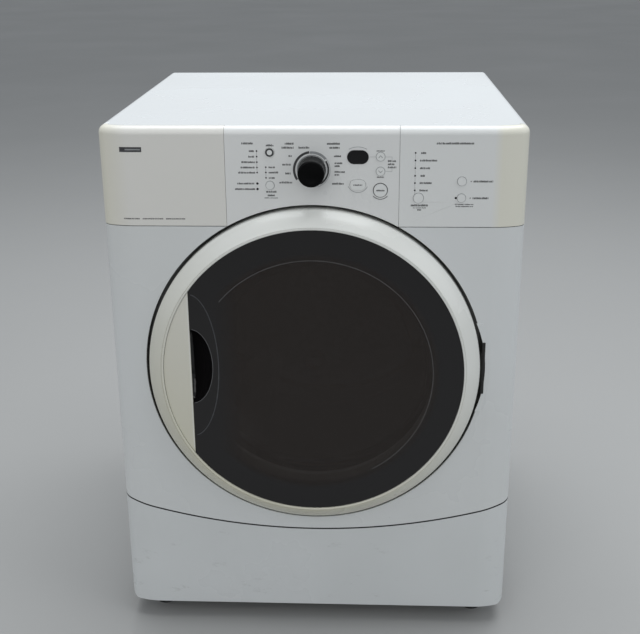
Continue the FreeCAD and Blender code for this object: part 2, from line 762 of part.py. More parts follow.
def drum_line(radius):
    """One side of the drum wall, front to back, over its two pressed hoops."""
    points = [(radius, drum_front)]
    for middle in rib_depths:
        points += [(radius, middle - rib_half - rib_tall), (radius + rib_tall, middle - rib_half),
                   (radius + rib_tall, middle + rib_half), (radius, middle + rib_half + rib_tall)]
    return points + [(radius, drum_back)]


drum_inner = drum_radius - steel
node("drum_shell", turned(drum_line(drum_radius) + drum_line(drum_inner)[::-1],
                          z=axis_height))

baffles = []
baffle_front = drum_front + 26
for turn in (90, 210, 330):
    fin = padded("XZ_Plane", [
        (-baffle_half, drum_inner + 5), (-baffle_half, drum_inner - 8),
        (-12, drum_inner - baffle_tall, ), (12, drum_inner - baffle_tall),
        (baffle_half, drum_inner - 8), (baffle_half, drum_inner + 5)],
        drum_length - 52, y=baffle_front, z=axis_height)
    fin.Placement = FreeCAD.Placement(fin.Placement.Base, FreeCAD.Rotation(V(0, 1, 0), turn))
    locate(fin, 0, baffle_front, axis_height)
    baffles.append(common(fin, rod(0, axis_height, drum_front, drum_back, drum_inner - clear)))
node("drum_baffles", group(*baffles))

roller_out = drum_radius + clear + roller_radius
lean = math.radians(35)
roller_x = roller_out * math.sin(lean)
roller_z = axis_height - roller_out * math.cos(lean)
roller_rows = (("front", drum_front + 8), ("rear", drum_back - 8 - roller_width))
inlet_hole = rod(motor_x, motor_z, bulkhead - 1, bulkhead + steel + 1, inlet + 2.4)
screen_slot = block(-screen_half - 4, screen_half + 4, screen_depth - 3,
                    screen_depth + screen_wall + 3, axis_height - throat - 30,
                    axis_height - throat + 36)
node("front_bulkhead", cut(
    fuse(cut(block(-inside, inside, bulkhead, bulkhead + steel, floor_top, side_top - 20),
             rod(0, axis_height, bulkhead - 1, bulkhead + steel + 1, throat)),
         tube(0, axis_height, recess + 0.2, bulkhead + 14, throat + steel, throat),
         tube(0, axis_height, bulkhead, drum_front + 8, seat_radius, seat_radius - steel)),
    screen_slot, inlet_hole))
inlet_holes = [rod(x, z, back_plate - 1, back_plate + steel + 1, 6)
               for x in range(185, 240, 18) for z in range(362, 420, 18)]
node("rear_bulkhead", cut(
    fuse(block(-inside, inside, back_plate, back_plate + steel, floor_top, side_top - 20),
         tube(0, axis_height, drum_back - 18, back_plate, seat_radius, seat_radius - steel)),
    rod(0, duct_z, back_plate - 1, back_plate + steel + 1, duct + 0.2), *inlet_holes))
node("drum_seals", group(
    tube(0, axis_height, bulkhead + steel + 0.5, drum_front + 6, drum_inner - clear, seat_radius),
    tube(0, axis_height, drum_back - 12, back_plate - 0.5, drum_inner - clear, seat_radius)))

axles = []
for row, roller_y in roller_rows:
    for name, side in (("left", -1), ("right", 1)):
        tyre = rod(roller_x * side, roller_z, roller_y, roller_y + roller_width, roller_radius)
        groove = tube(roller_x * side, roller_z, roller_y - 1, roller_y + 5,
                      roller_radius - 6, axle + 5)
        bore = rod(roller_x * side, roller_z, roller_y - 1, roller_y + roller_width + 1,
                   axle + fit)
        node("%s_%s_roller" % (row, name), cut(tyre, groove, bore))
        if row == "front":
            ends = (bulkhead + steel, roller_y + roller_width + 2)
        else:
            ends = (roller_y - 2, back_plate)
        axles.append(rod(roller_x * side, roller_z, *ends, axle))
node("roller_shafts", group(*axles))

# ---------------------------------------------------------------- lint screen and air path
duct_wall = as_size(2)
duct_front = screen_depth - 6
duct_back = bulkhead - 1.2
chute = screen_half + 9
low_right = motor_x + inlet + 9


def duct_space(inset):
    """The chute under the door opening and the sump that leads to the blower."""
    return fuse(
        block(-chute + inset, chute - inset, duct_front + inset, duct_back - inset,
              150, axis_height - throat + 30 + inset),
        block(-chute + inset, low_right - inset, duct_front + inset, duct_back - inset,
              floor_top + 8 + inset, 196 - inset))


ledges = [block(low, low + 13, duct_front + 1, duct_back - 1, screen_low - 10, screen_low - 0.2)
          for low in (-chute + 1, chute - 14)]
lint_shell = fuse(
    cut(duct_space(as_size(0)), duct_space(duct_wall),
        rod(0, axis_height, duct_front - 1, duct_back + 1, throat + steel + 0.2)),
    rod(motor_x, motor_z, duct_back - 1, scroll_front, inlet + duct_wall), *ledges)
node("lint_duct", cut(lint_shell, rod(motor_x, motor_z, duct_back - 3, scroll_front + 1, inlet)))

screen_frame = block(-screen_half, screen_half, screen_depth, screen_depth + screen_wall,
                     screen_low, screen_top)
panes = [block(x, x + 60, screen_depth - 1, screen_depth + screen_wall + 1, z, z + 28)
         for x in (-96, -30, 36) for z in [screen_low + 10 + 34 * row for row in range(4)]]
mesh = block(-screen_half + 4, screen_half - 4, screen_depth + 5, screen_depth + 7,
             screen_low + 4, screen_top - 10)
node("lint_screen", fuse(cut(screen_frame, *panes), mesh))

scroll_back = scroll_front + scroll_depth
outlet_half = duct + 6


def scroll_space(inset):
    """The fan scroll and its outlet box."""
    return fuse(
        rod(motor_x, motor_z, scroll_front + inset, scroll_back - inset, scroll - inset),
        block(-outlet_half + inset, motor_x, scroll_front + inset, scroll_back - inset,
              motor_z - scroll + inset, duct_z + outlet_half - inset))


node("blower_housing", cut(
    scroll_space(as_size(0)), scroll_space(duct_wall),
    rod(motor_x, motor_z, scroll_front - 1, scroll_front + 3, inlet - 2),
    rod(motor_x, motor_z, scroll_back - 3, scroll_back + 1, shaft + 4),
    rod(0, duct_z, scroll_back - 3, scroll_back + 1, collar - steel)))
node("exhaust_duct", cut(
    fuse(rod(0, duct_z, scroll_back, depth, duct),
         rod(0, duct_z, depth - 1, depth + duct_proud, collar)),
    rod(0, duct_z, scroll_back - 1, depth + duct_proud + 1, collar - steel)))

wheel_front = scroll_front + 8
wheel_radius = scroll - 12
blades = []
for number in range(20):
    blade = doc.addObject("Part::Box", "Blade")
    bind(blade, Length=wheel_radius - 24, Width=44, Height=1.6)
    angle = 18 * number
    blade.Placement = FreeCAD.Placement(V(0, 0, 0), FreeCAD.Rotation(V(0, 1, 0), angle))
    locate(blade, motor_x + 24 * math.cos(math.radians(angle)), wheel_front,
           motor_z - 24 * math.sin(math.radians(angle)))
    blades.append(blade)
back_disc = tube(motor_x, motor_z, wheel_front + 42, wheel_front + 46, wheel_radius, shaft)
hub = tube(motor_x, motor_z, wheel_front + 20, wheel_front + 50, 26, shaft)
node("blower_wheel", fuse(back_disc, hub, *blades))

node("motor_shaft", fuse(
    rod(motor_x, motor_z, wheel_front + 10, belt_depth + belt_width + 4, shaft),
    rod(motor_x, motor_z, belt_front, belt_depth + belt_width, pulley),
    rod(motor_x, motor_z, belt_front - 2, belt_front, pulley + 3),
    rod(motor_x, motor_z, belt_depth + belt_width, belt_depth + belt_width + 2, pulley + 3)))
node("motor_body", cut(
    fuse(rod(motor_x, motor_z, 262, 420, motor_radius), rod(motor_x, motor_z, 248, 434, 44),
         rod(motor_x, motor_z, 242, 440, 16)),
    rod(motor_x, motor_z, 200, 480, shaft + fit)))

# ---------------------------------------------------------------- belt and tensioner
arm_front = belt_front - 8
node("idler_arm", cut(
    fuse(rod(pivot_x, pivot_z, arm_front, arm_front + 4, 11),
         rod(idler_x, idler_z, arm_front, arm_front + 4, 11),
         block(idler_x - 2, pivot_x + 2, arm_front, arm_front + 4, pivot_z - 4, idler_z + 4),
         rod(idler_x, idler_z, arm_front + 3, belt_depth + belt_width, 4),
         block(idler_x - 20, idler_x, arm_front, arm_front + 4, pivot_z + 16, pivot_z + 24)),
    rod(pivot_x, pivot_z, arm_front - 1, arm_front + 5, axle + fit)))
node("idler_pulley", tube(idler_x, idler_z, belt_front, belt_depth + belt_width,
                          idler_radius, 4 + fit))
spring_x = idler_x - 13
spring_low = floor_top
spring_high = pivot_z + 16 - clear
spring_line = doc.addObject("Part::Helix", "SpringLine")
bind(spring_line, Pitch=(spring_high - spring_low - 3) / 8, Height=spring_high - spring_low - 3,
     Radius=5)
locate(spring_line, spring_x, arm_front + 2, spring_low + 1.5)
spring_wire = doc.addObject("Part::Circle", "SpringWire")
spring_wire.Radius = 0.9
spring_wire.Placement = FreeCAD.Placement(V(0, 0, 0), FreeCAD.Rotation(V(1, 0, 0), 90))
locate(spring_wire, spring_x + 5, arm_front + 2, spring_low + 1.5)
spring = doc.addObject("Part::Sweep", "Spring")
doc.recompute()
spring.Sections = [spring_wire]
spring.Spine = (spring_line, ["Edge1"])
spring.Solid = True
spring.Frenet = True
node("idler_spring", spring)


def belt_face(offset):
    """The closed run of the belt round drum, idler and motor pulley, as a flat face."""
    half_wall = belt_wall.value / 2
    rounds = [
        (0.0, axis_height.value, drum_radius.value + clear.value + half_wall + offset, 1),
        (idler_x.value, idler_z.value, idler_radius.value + clear.value + half_wall - offset, -1),
        (motor_x.value, motor_z.value, pulley.value + clear.value + half_wall + offset, 1)]
    leave, arrive = [], []
    for index, (xa, za, ra, way_a) in enumerate(rounds):
        xb, zb, rb, way_b = rounds[(index + 1) % 3]
        span = math.hypot(xb - xa, zb - za)
        normal = math.atan2(zb - za, xb - xa) + math.acos((way_b * rb - way_a * ra) / span)
        across = (math.cos(normal), math.sin(normal))
        leave.append((xa - way_a * ra * across[0], za - way_a * ra * across[1]))
        arrive.append((xb - way_b * rb * across[0], zb - way_b * rb * across[1]))
    edges = []
    for index, (x, z, radius, way) in enumerate(rounds):
        start, end = arrive[index - 1], leave[index]
        first = math.atan2(start[1] - z, start[0] - x)
        last = math.atan2(end[1] - z, end[0] - x)
        sweep = (last - first) * way % (2 * math.pi)
        middle = first + way * sweep / 2
        edges.append(Part.Arc(V(start[0], 0, start[1]),
                              V(x + radius * math.cos(middle), 0, z + radius * math.sin(middle)),
                              V(end[0], 0, end[1])).toShape())
        edges.append(Part.makeLine(V(end[0], 0, end[1]),
                                   V(arrive[index][0], 0, arrive[index][1])))
    return Part.Face(Part.Wire(edges))


belt = doc.addObject("Part::Feature", "Belt")
run = belt_face(belt_wall.value / 2).cut(belt_face(-belt_wall.value / 2))
belt.Shape = run.extrude(V(0, belt_width.value, 0))
locate(belt, 0, belt_depth - belt_width / 2, 0)
node("drum_belt", belt)

# ---------------------------------------------------------------- heater
heater = (as_size(170), as_size(300), back_plate + steel, side_back - steel * 2, as_size(90),
          as_size(430))
element_y = (heater[2] + heater[3]) / 2
node("heater_box", cut(
    block(*heater),
    block(heater[0] + 1, heater[1] - 1, heater[2] + 1, heater[3] - 1, heater[4] - 1,
          heater[5] - 1),
    block(heater[0] + 6, heater[0] + 76, heater[2] - 1, heater[2] + 2, 352, 424)))
coils = [crossbar(heater[0] + 1, heater[1] - 1, element_y, 120 + 26 * row, 2.5)
         for row in range(8)]
stays = [block(x, x + 3, element_y - 1.5, element_y + 1.5, 118, 304) for x in (185, 233, 280)]
node("heating_element", fuse(*(coils + stays)))

# ---------------------------------------------------------------- levelling feet
for name, (x, y) in foot_spots.items():
    node(name + "_foot", fuse(
        post(x, y, 0, 7, pad), post(x, y, 6, base_height - 3, stud + 6),
        post(x, y, base_height - 4, base_height + 24, stud)))

# ---------------------------------------------------------------- check and write
doc.recompute()
for item in doc.Objects:
    if "Invalid" in item.State or "Error" in item.State:
        raise RuntimeError("failed: %s (%s)" % (item.Label, item.State))
os.makedirs("parts", exist_ok=True)
for item in nodes:
    if item.Shape.isNull() or not item.Shape.isValid() or not item.Shape.Solids:
        raise RuntimeError("bad shape: " + item.Label)
    item.Shape.exportStep("parts/%s.step" % item.Label)
print("nodes", len(nodes))
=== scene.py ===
"""Looks of the front-loading clothes dryer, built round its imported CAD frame, in metres."""
import math
import random
import bmesh
import bpy
from mathutils import Matrix, Vector


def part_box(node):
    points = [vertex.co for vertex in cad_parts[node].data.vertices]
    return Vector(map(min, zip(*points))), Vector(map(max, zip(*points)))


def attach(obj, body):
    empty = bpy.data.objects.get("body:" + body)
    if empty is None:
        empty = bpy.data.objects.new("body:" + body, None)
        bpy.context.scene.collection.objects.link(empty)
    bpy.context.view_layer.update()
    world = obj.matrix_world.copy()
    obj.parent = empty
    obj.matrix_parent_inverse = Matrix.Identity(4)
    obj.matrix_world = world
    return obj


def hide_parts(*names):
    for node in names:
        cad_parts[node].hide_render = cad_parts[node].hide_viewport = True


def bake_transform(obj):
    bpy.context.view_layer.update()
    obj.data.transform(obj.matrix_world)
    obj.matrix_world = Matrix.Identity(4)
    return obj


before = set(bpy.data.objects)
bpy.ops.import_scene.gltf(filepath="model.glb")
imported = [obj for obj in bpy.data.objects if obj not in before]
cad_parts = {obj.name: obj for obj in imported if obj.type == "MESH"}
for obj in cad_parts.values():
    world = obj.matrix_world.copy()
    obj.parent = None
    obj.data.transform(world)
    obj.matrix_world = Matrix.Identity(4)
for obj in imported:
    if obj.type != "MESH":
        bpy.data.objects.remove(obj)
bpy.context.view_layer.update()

# ---- Camera and studio ------------------------------------------------------------------
# A standing person's view of the machine, a little right of its middle, looking down.
# Lit like an overcast yard: a wide soft sky overhead and a weaker pale fill from in front.
MM = 0.001
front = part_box("front_panel")[0][1]
eye = Vector((0.0867, front - 1.6585, 1.2022))
yaw, pitch, roll = math.radians(-2.61), math.radians(19.99), math.radians(-0.42)
ahead = Vector((math.sin(yaw) * math.cos(pitch), math.cos(yaw) * math.cos(pitch), -math.sin(pitch)))
level = Vector((math.cos(yaw), -math.sin(yaw), 0))
upright = level.cross(ahead)
right = level * math.cos(roll) + upright * math.sin(roll)
above = upright * math.cos(roll) - level * math.sin(roll)
lens = bpy.data.cameras.new("camera")
lens.sensor_width = 36
lens.lens = 59.785
camera = bpy.data.objects.new("camera", lens)
bpy.context.collection.objects.link(camera)
camera.matrix_world = Matrix(((right.x, above.x, -ahead.x, eye.x), (right.y, above.y, -ahead.y, eye.y),
                              (right.z, above.z, -ahead.z, eye.z), (0, 0, 0, 1)))
bpy.context.scene.camera = camera


def soft_light(name, place, size, power, tint):
    """A square area lamp that faces the machine."""
    data = bpy.data.lights.new(name, "AREA")
    data.size = size
    data.energy = power
    data.color = tint
    lamp = bpy.data.objects.new(name, data)
    bpy.context.collection.objects.link(lamp)
    lamp.location = place
    lamp.rotation_euler = (Vector((0, 0, 0.5)) - Vector(place)).to_track_quat("-Z", "Y").to_euler()


soft_light("sky_light", (0.2, 0.6, 3.6), 3.4, 108, (0.96, 0.985, 1.0))
soft_light("front_fill", (-1.0, -3.6, 2.3), 2.8, 26, (1.0, 0.99, 0.97))
soft_light("side_fill", (3.0, -1.2, 1.9), 2.2, 14, (0.95, 0.98, 1.0))
world = bpy.data.worlds.new("overcast")
world.use_nodes = True
sky = world.node_tree.nodes["Background"]
sky.inputs["Color"].default_value = (0.72, 0.76, 0.80, 1)
sky.inputs["Strength"].default_value = 0.56
bpy.context.scene.world = world
bpy.context.scene.view_settings.view_transform = "Standard"


# ---- Floor ------------------------------------------------------------------------------
# A plain pale studio floor, so large that its edge stays out of sight.  The shader groups for
# slow uneven tone and for fine grain are made here, because every finish below uses them.
def shader_group(name, inputs, outputs):
    """An empty shader group; each socket is given as (name, kind, default)."""
    tree = bpy.data.node_groups.new(name, "ShaderNodeTree")
    for label, kind, value in inputs:
        tree.interface.new_socket(label, in_out="INPUT", socket_type=kind).default_value = value
    for label, kind in outputs:
        tree.interface.new_socket(label, in_out="OUTPUT", socket_type=kind)
    return tree, tree.nodes.new("NodeGroupInput").outputs, tree.nodes.new("NodeGroupOutput").inputs


def step_in(tree, kind, links=(), **settings):
    """One node of a shader: plain settings by name, then (input, value or socket) pairs."""
    made = tree.nodes.new(kind)
    for key, value in settings.items():
        setattr(made, key, value)
    for socket, value in links:
        if isinstance(value, bpy.types.NodeSocket):
            tree.links.new(value, made.inputs[socket])
        else:
            made.inputs[socket].default_value = value
    return made


def ramp(tree, value, start, end, low=0, high=1, **settings):
    """A value stretched from start..end to low..high and held there."""
    return step_in(tree, "ShaderNodeMapRange", [("Value", value), ("From Min", start), ("From Max", end),
                                                ("To Min", low), ("To Max", high)],
                   **settings).outputs["Result"]


def worked_out(tree, operation, *values):
    """The result of one sum on numbers or sockets."""
    return step_in(tree, "ShaderNodeMath", list(enumerate(values)), operation=operation).outputs["Value"]


def laid_over(tree, mask, under, over):
    """The under colour, covered by the over colour where the mask says so."""
    factor, first, second, mixed = 0, 6, 7, 2
    return step_in(tree, "ShaderNodeMix", [(factor, mask), (first, under), (second, over)],
                   data_type="RGBA").outputs[mixed]


NUMBER, COLOUR, VECTOR = "NodeSocketFloat", "NodeSocketColor", "NodeSocketVector"
mottle, given, put = shader_group(
    "mottle", [("Colour", COLOUR, (0.8, 0.8, 0.8, 1)), ("Second", COLOUR, (0.7, 0.7, 0.7, 1)),
               ("Size", NUMBER, 6), ("Smooth", NUMBER, 0.25), ("Rough", NUMBER, 0.35)],
    [("Colour", COLOUR), ("Roughness", NUMBER)])
spot = step_in(mottle, "ShaderNodeTexCoord").outputs["Object"]
cloud = step_in(mottle, "ShaderNodeTexNoise",
                [("Vector", spot), ("Scale", given["Size"]), ("Detail", 5)]).outputs["Fac"]
tone = laid_over(mottle, ramp(mottle, cloud, 0.3, 0.7), given["Colour"], given["Second"])
gloss = ramp(mottle, cloud, 0.3, 0.7, given["Smooth"], given["Rough"])
mottle.links.new(tone, put["Colour"])
mottle.links.new(gloss, put["Roughness"])

# Grain: a fine relief, as in sprayed paint or moulded plastic.
grain, given, put = shader_group("grain", [("Size", NUMBER, 900), ("Depth", NUMBER, 0.1)],
                                 [("Normal", VECTOR)])
spot = step_in(grain, "ShaderNodeTexCoord").outputs["Object"]
speck = step_in(grain, "ShaderNodeTexNoise", [("Vector", spot), ("Scale", given["Size"]), ("Detail", 3)])
relief = step_in(grain, "ShaderNodeBump", [("Height", speck.outputs["Fac"]), ("Strength", given["Depth"]),
                                           ("Distance", 0.2 * MM)])
grain.links.new(relief.outputs["Normal"], put["Normal"])

# Marks: sparse rubbed streaks and chips, most of them low down where feet and mops reach.
rubbed_grey = (0.2, 0.19, 0.17)
marks, given, put = shader_group("marks", [("Amount", NUMBER, 0.5), ("Height", NUMBER, 0.3)],
                                 [("Mask", NUMBER)])
spot = step_in(marks, "ShaderNodeTexCoord").outputs["Object"]
drawn = step_in(marks, "ShaderNodeMapping", [("Vector", spot), ("Scale", (1, 1, 2.6))])
streak = step_in(marks, "ShaderNodeTexNoise", [("Vector", drawn.outputs["Vector"]), ("Scale", 14),
                                               ("Detail", 10), ("Roughness", 0.75)])
kept = ramp(marks, streak.outputs["Fac"], 0.6, 0.76)
tall = step_in(marks, "ShaderNodeSeparateXYZ", [("Vector", spot)])
low = ramp(marks, tall.outputs["Z"], given["Height"], 0, 0.12)
both = worked_out(marks, "MULTIPLY", kept, low)
marks.links.new(worked_out(marks, "MULTIPLY", both, given["Amount"]), put["Mask"])

# Dust: a mask for what settles on surfaces that face up.
lint_grey = (0.42, 0.40, 0.37)
dust, given, put = shader_group("dust", [("Amount", NUMBER, 0.5)], [("Mask", NUMBER)])
spot = step_in(dust, "ShaderNodeTexCoord").outputs["Object"]
heap = step_in(dust, "ShaderNodeTexNoise", [("Vector", spot), ("Scale", 26), ("Detail", 8)])
facing = step_in(dust, "ShaderNodeSeparateXYZ", [
    ("Vector", step_in(dust, "ShaderNodeNewGeometry").outputs["Normal"])])
both = worked_out(dust, "MULTIPLY", heap.outputs["Fac"], ramp(dust, facing.outputs["Z"], 0.3, 0.95))
dust.links.new(worked_out(dust, "MULTIPLY", both, given["Amount"]), put["Mask"])


def finish_of(name, colour, second=None, smooth=0.25, rough=0.35, size=6, metallic=0, coat=0,
              specular=0.5, grain_size=900, grain_depth=0.08, marked=0, mark_height=0.3, dusty=0,
              layers=()):
    """A finish: mottled colour and gloss under fine grain.  Layers are (mask group, its settings,
    colour), laid in turn; marks and dust come last."""
    material = bpy.data.materials.new(name)
    material.use_nodes = True
    tree = material.node_tree
    shader = tree.nodes["Principled BSDF"]
    shader.inputs["Metallic"].default_value = metallic
    shader.inputs["Coat Weight"].default_value = coat
    shader.inputs["Coat Roughness"].default_value = 0.1
    shader.inputs["Specular IOR Level"].default_value = specular
    second = second or [0.88 * part for part in colour]
    base = step_in(tree, "ShaderNodeGroup", node_tree=mottle)
    for label, value in (("Colour", (*colour, 1)), ("Second", (*second, 1)), ("Size", size),
                         ("Smooth", smooth), ("Rough", rough)):
        base.inputs[label].default_value = value
    skin = base.outputs["Colour"]

    laid = list(layers)
    if marked:
        laid.append((marks, {"Amount": marked, "Height": mark_height}, rubbed_grey))
    if dusty:
        laid.append((dust, {"Amount": dusty}, lint_grey))
    for group, settings, over in laid:
        film = step_in(tree, "ShaderNodeGroup", node_tree=group)
        for label, value in settings.items():
            film.inputs[label].default_value = value
        skin = laid_over(tree, film.outputs["Mask"], skin, (*over, 1))
    tree.links.new(skin, shader.inputs["Base Color"])
    tree.links.new(base.outputs["Roughness"], shader.inputs["Roughness"])
    fine = step_in(tree, "ShaderNodeGroup", node_tree=grain)
    fine.inputs["Size"].default_value = grain_size
    fine.inputs["Depth"].default_value = grain_depth
    tree.links.new(fine.outputs["Normal"], shader.inputs["Normal"])
    return material


reach = 30
floor_mesh = bpy.data.meshes.new("studio_floor")
floor_mesh.from_pydata([(-reach, -reach, 0), (reach, -reach, 0), (reach, reach, 0), (-reach, reach, 0)],
                       [], [(0, 1, 2, 3)])
floor = bpy.data.objects.new("studio_floor", floor_mesh)
bpy.context.collection.objects.link(floor)
floor_mesh.materials.append(finish_of("floor_paint", (0.39, 0.39, 0.385), (0.38, 0.38, 0.375), 0.6, 0.75,
                                      size=0.8, grain_size=60, grain_depth=0.2))


# ---- Base pan, bulkheads and ducts ------------------------------------------------------
# Pressed from zinc-coated steel sheet and left unpainted.  The spangle of the zinc is an
# uneven patchwork of greys, and lint dust lies on every level face.
def dress(names, material, edge=0.0):
    """Give CAD nodes a finish, with a small rolled edge where the real piece has one."""
    for name in names:
        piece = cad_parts[name]
        for holder in piece.material_slots:
            holder.link = "OBJECT"
            holder.material = material
        if edge:
            knit = piece.modifiers.new("knit", "WELD")
            knit.merge_threshold = 0.01 * MM
            roll_edge = piece.modifiers.new("rolled_edge", "BEVEL")
            roll_edge.width = edge
            roll_edge.segments = 3
            roll_edge.limit_method = "ANGLE"
            roll_edge.angle_limit = math.radians(50)
            even = piece.modifiers.new("even_shading", "WEIGHTED_NORMAL")
            even.mode = "FACE_AREA_WITH_ANGLE"


zinc = finish_of("galvanised_sheet", (0.55, 0.56, 0.57), (0.36, 0.37, 0.39), 0.3, 0.5, size=75,
                 metallic=0.85, grain_depth=0.05, dusty=0.6)
dress(["base_pan", "front_bulkhead", "rear_bulkhead", "exhaust_duct"], zinc)

# ---- Levelling feet ---------------------------------------------------------------------
# Black moulded pads on threaded studs that screw into the base pan's bosses.
# They are turned in or out until the machine stands level.
foot_black = finish_of("foot_plastic", (0.02, 0.02, 0.02), (0.035, 0.034, 0.032), 0.5, 0.7, size=40,
                       dusty=0.5)
dress(["front_left_foot", "front_right_foot", "rear_left_foot", "rear_right_foot"], foot_black)

# ---- Drum, baffles, seals and rollers ---------------------------------------------------
# A rolled and welded steel drum, powder coated, with three hollow plastic baffles screwed
# inside it.  It runs on four rubber-tyred rollers and rubs on felt seals at both ends.
drum_coat = finish_of("drum_coat", (0.66, 0.66, 0.64), (0.60, 0.60, 0.58), 0.35, 0.5, size=12,
                      marked=0.2, mark_height=0.9)
dress(["drum_shell"], drum_coat)
baffle_grey = finish_of("baffle_plastic", (0.50, 0.51, 0.52), (0.45, 0.46, 0.47), 0.35, 0.5, size=14)
dress(["drum_baffles"], baffle_grey)
felt = finish_of("felt", (0.42, 0.39, 0.33), (0.30, 0.27, 0.23), 0.85, 0.97, size=90, grain_size=2500,
                 grain_depth=0.8)
dress(["drum_seals"], felt)
rubber = finish_of("rubber", (0.028, 0.028, 0.028), (0.045, 0.043, 0.04), 0.55, 0.75, size=50, dusty=0.3)
dress(["front_left_roller", "front_right_roller", "rear_left_roller", "rear_right_roller"], rubber)
turned_steel = finish_of("turned_steel", (0.62, 0.62, 0.63), (0.5, 0.5, 0.52), 0.2, 0.38, size=160,
                         metallic=1)
dress(["roller_shafts"], turned_steel)

# ---- Motor, belt and tensioner ----------------------------------------------------------
# An induction motor with a black baked case sits in the cradle.  Its pulley drives a thin
# ribbed belt round the drum, and a sprung arm with a nylon pulley keeps the belt tight.
motor_black = finish_of("motor_enamel", (0.05, 0.052, 0.055), (0.075, 0.075, 0.08), 0.3, 0.5, size=30,
                        dusty=0.5)
dress(["motor_body"], motor_black)
dress(["motor_shaft"], turned_steel)
dress(["drum_belt"], rubber)
dress(["idler_arm"], zinc)
nylon = finish_of("nylon", (0.42, 0.42, 0.40), (0.36, 0.36, 0.34), 0.35, 0.5, size=50)
dress(["idler_pulley"], nylon)

# ---- Tensioner spring -------------------------------------------------------------------
# A coil of hard-drawn wire.  Its foot is hooked to the cradle and its head to the idler arm.
def join_parts(parts):
    """The corners and faces of several parts as one list."""
    corners, faces = [], []
    for part_corners, part_faces in parts:
        start = len(corners)
        corners += part_corners
        faces += [tuple(start + index for index in face) for face in part_faces]
    return corners, faces


def made_piece(name, parts, material, body, replaced=(), edge=0.0, crease=35):
    """A piece of its own, from corners and faces.  It rides on a body unless that is None."""
    mesh = bpy.data.meshes.new(name)
    corners, faces = join_parts(parts)
    mesh.from_pydata(corners, [], faces)
    shape = bmesh.new()
    shape.from_mesh(mesh)
    bmesh.ops.recalc_face_normals(shape, faces=shape.faces)
    shape.to_mesh(mesh)
    shape.free()
    mesh.materials.append(material)
    mesh.polygons.foreach_set("use_smooth", [True] * len(mesh.polygons))
    mesh.set_sharp_from_angle(angle=math.radians(crease))
    piece = bpy.data.objects.new(name, mesh)
    bpy.context.collection.objects.link(piece)
    if edge:
        soften = piece.modifiers.new("soft_edge", "BEVEL")
        soften.width = edge
        soften.segments = 3
        soften.limit_method = "ANGLE"
        soften.angle_limit = math.radians(40)
    if body:
        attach(piece, body)
    if replaced:
        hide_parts(*replaced)
    return piece


spring_low, spring_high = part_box("idler_spring")
spring_x, spring_y = (spring_low[0] + spring_high[0]) / 2, (spring_low[1] + spring_high[1]) / 2
wire, pitch = 0.9 * MM, 3.2 * MM
coil_radius = (spring_high[0] - spring_low[0]) / 2 - wire
foot_z, head_z = spring_low[2] + wire, spring_high[2] - wire
turns = round((head_z - foot_z) / pitch)
per_turn, sides = 20, 8
stations = turns * per_turn
corners, faces = [], []
for k in range(stations + 1):
    turn = 2 * math.pi * k / per_turn
    outward = Vector((math.cos(turn), math.sin(turn), 0))
    middle = Vector((spring_x, spring_y, foot_z + (head_z - foot_z) * k / stations))
    for j in range(sides):
        round_wire = 2 * math.pi * j / sides
        corners.append(tuple(middle + outward * (coil_radius + wire * math.cos(round_wire))
                             + Vector((0, 0, wire * math.sin(round_wire)))))
for k in range(stations):
    here, after = sides * k, sides * (k + 1)
    faces += [(here + j, after + j, after + (j + 1) % sides, here + (j + 1) % sides)
              for j in range(sides)]
faces += [tuple(range(sides)), tuple(sides * stations + j for j in reversed(range(sides)))]
coil = made_piece("tensioner_spring", [(corners, faces)], turned_steel, None,
                  replaced=["idler_spring"])
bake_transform(coil)

# ---- Blower, lint screen and ducts ------------------------------------------------------
# Grey polypropylene mouldings.  The lint screen is a blue-grey frame with woven gauze, pulled
# up out of its slot under the door opening.
duct_grey = finish_of("duct_plastic", (0.30, 0.31, 0.32), (0.25, 0.26, 0.27), 0.35, 0.5, size=14,
                      dusty=0.6)
dress(["lint_duct", "blower_housing", "blower_wheel"], duct_grey)
screen_blue = finish_of("lint_plastic", (0.13, 0.18, 0.26), (0.11, 0.15, 0.22), 0.35, 0.5, size=14)
dress(["lint_screen"], screen_blue)

# ---- Heater -----------------------------------------------------------------------------
# Nichrome wire wound into coils and held on mica stays in a folded zinc-coated box.
# The coils have gone brown with heat.
dress(["heater_box"], zinc)
hot_wire = finish_of("heater_wire", (0.22, 0.18, 0.15), (0.30, 0.22, 0.17), 0.4, 0.6, size=90, metallic=0.9)
dress(["heating_element"], hot_wire)

# ---- Side, front and toe panels ---------------------------------------------------------
# Deep-drawn steel sheet sprayed with white enamel and baked.  The round recess behind the
# door is darkened by painted shade with some grease and lint, the toe panel has the rubs of
# mops and shoes, and a line of painted shade runs along its top seam.
door_z = 504 * MM


# Round place: where a point lies from a front-to-back axis at a given height.
round_place, given, put = shader_group("round_place", [("Axis Height", NUMBER, 0.5)],
                                       [("Across", NUMBER), ("Depth", NUMBER), ("Radius", NUMBER)])
spot = step_in(round_place, "ShaderNodeSeparateXYZ", [
    ("Vector", step_in(round_place, "ShaderNodeTexCoord").outputs["Object"])]).outputs
lifted = worked_out(round_place, "SUBTRACT", spot["Z"], given["Axis Height"])
flat = step_in(round_place, "ShaderNodeCombineXYZ", [("X", spot["X"]), ("Z", lifted)])
away = step_in(round_place, "ShaderNodeVectorMath", [(0, flat.outputs["Vector"])], operation="LENGTH")
round_place.links.new(spot["X"], put["Across"])
round_place.links.new(spot["Y"], put["Depth"])
round_place.links.new(away.outputs["Value"], put["Radius"])


def placed_round(tree, height):
    """Across, depth and radius of a point, from the axis at a height."""
    return step_in(tree, "ShaderNodeGroup", [("Axis Height", height)], node_tree=round_place).outputs
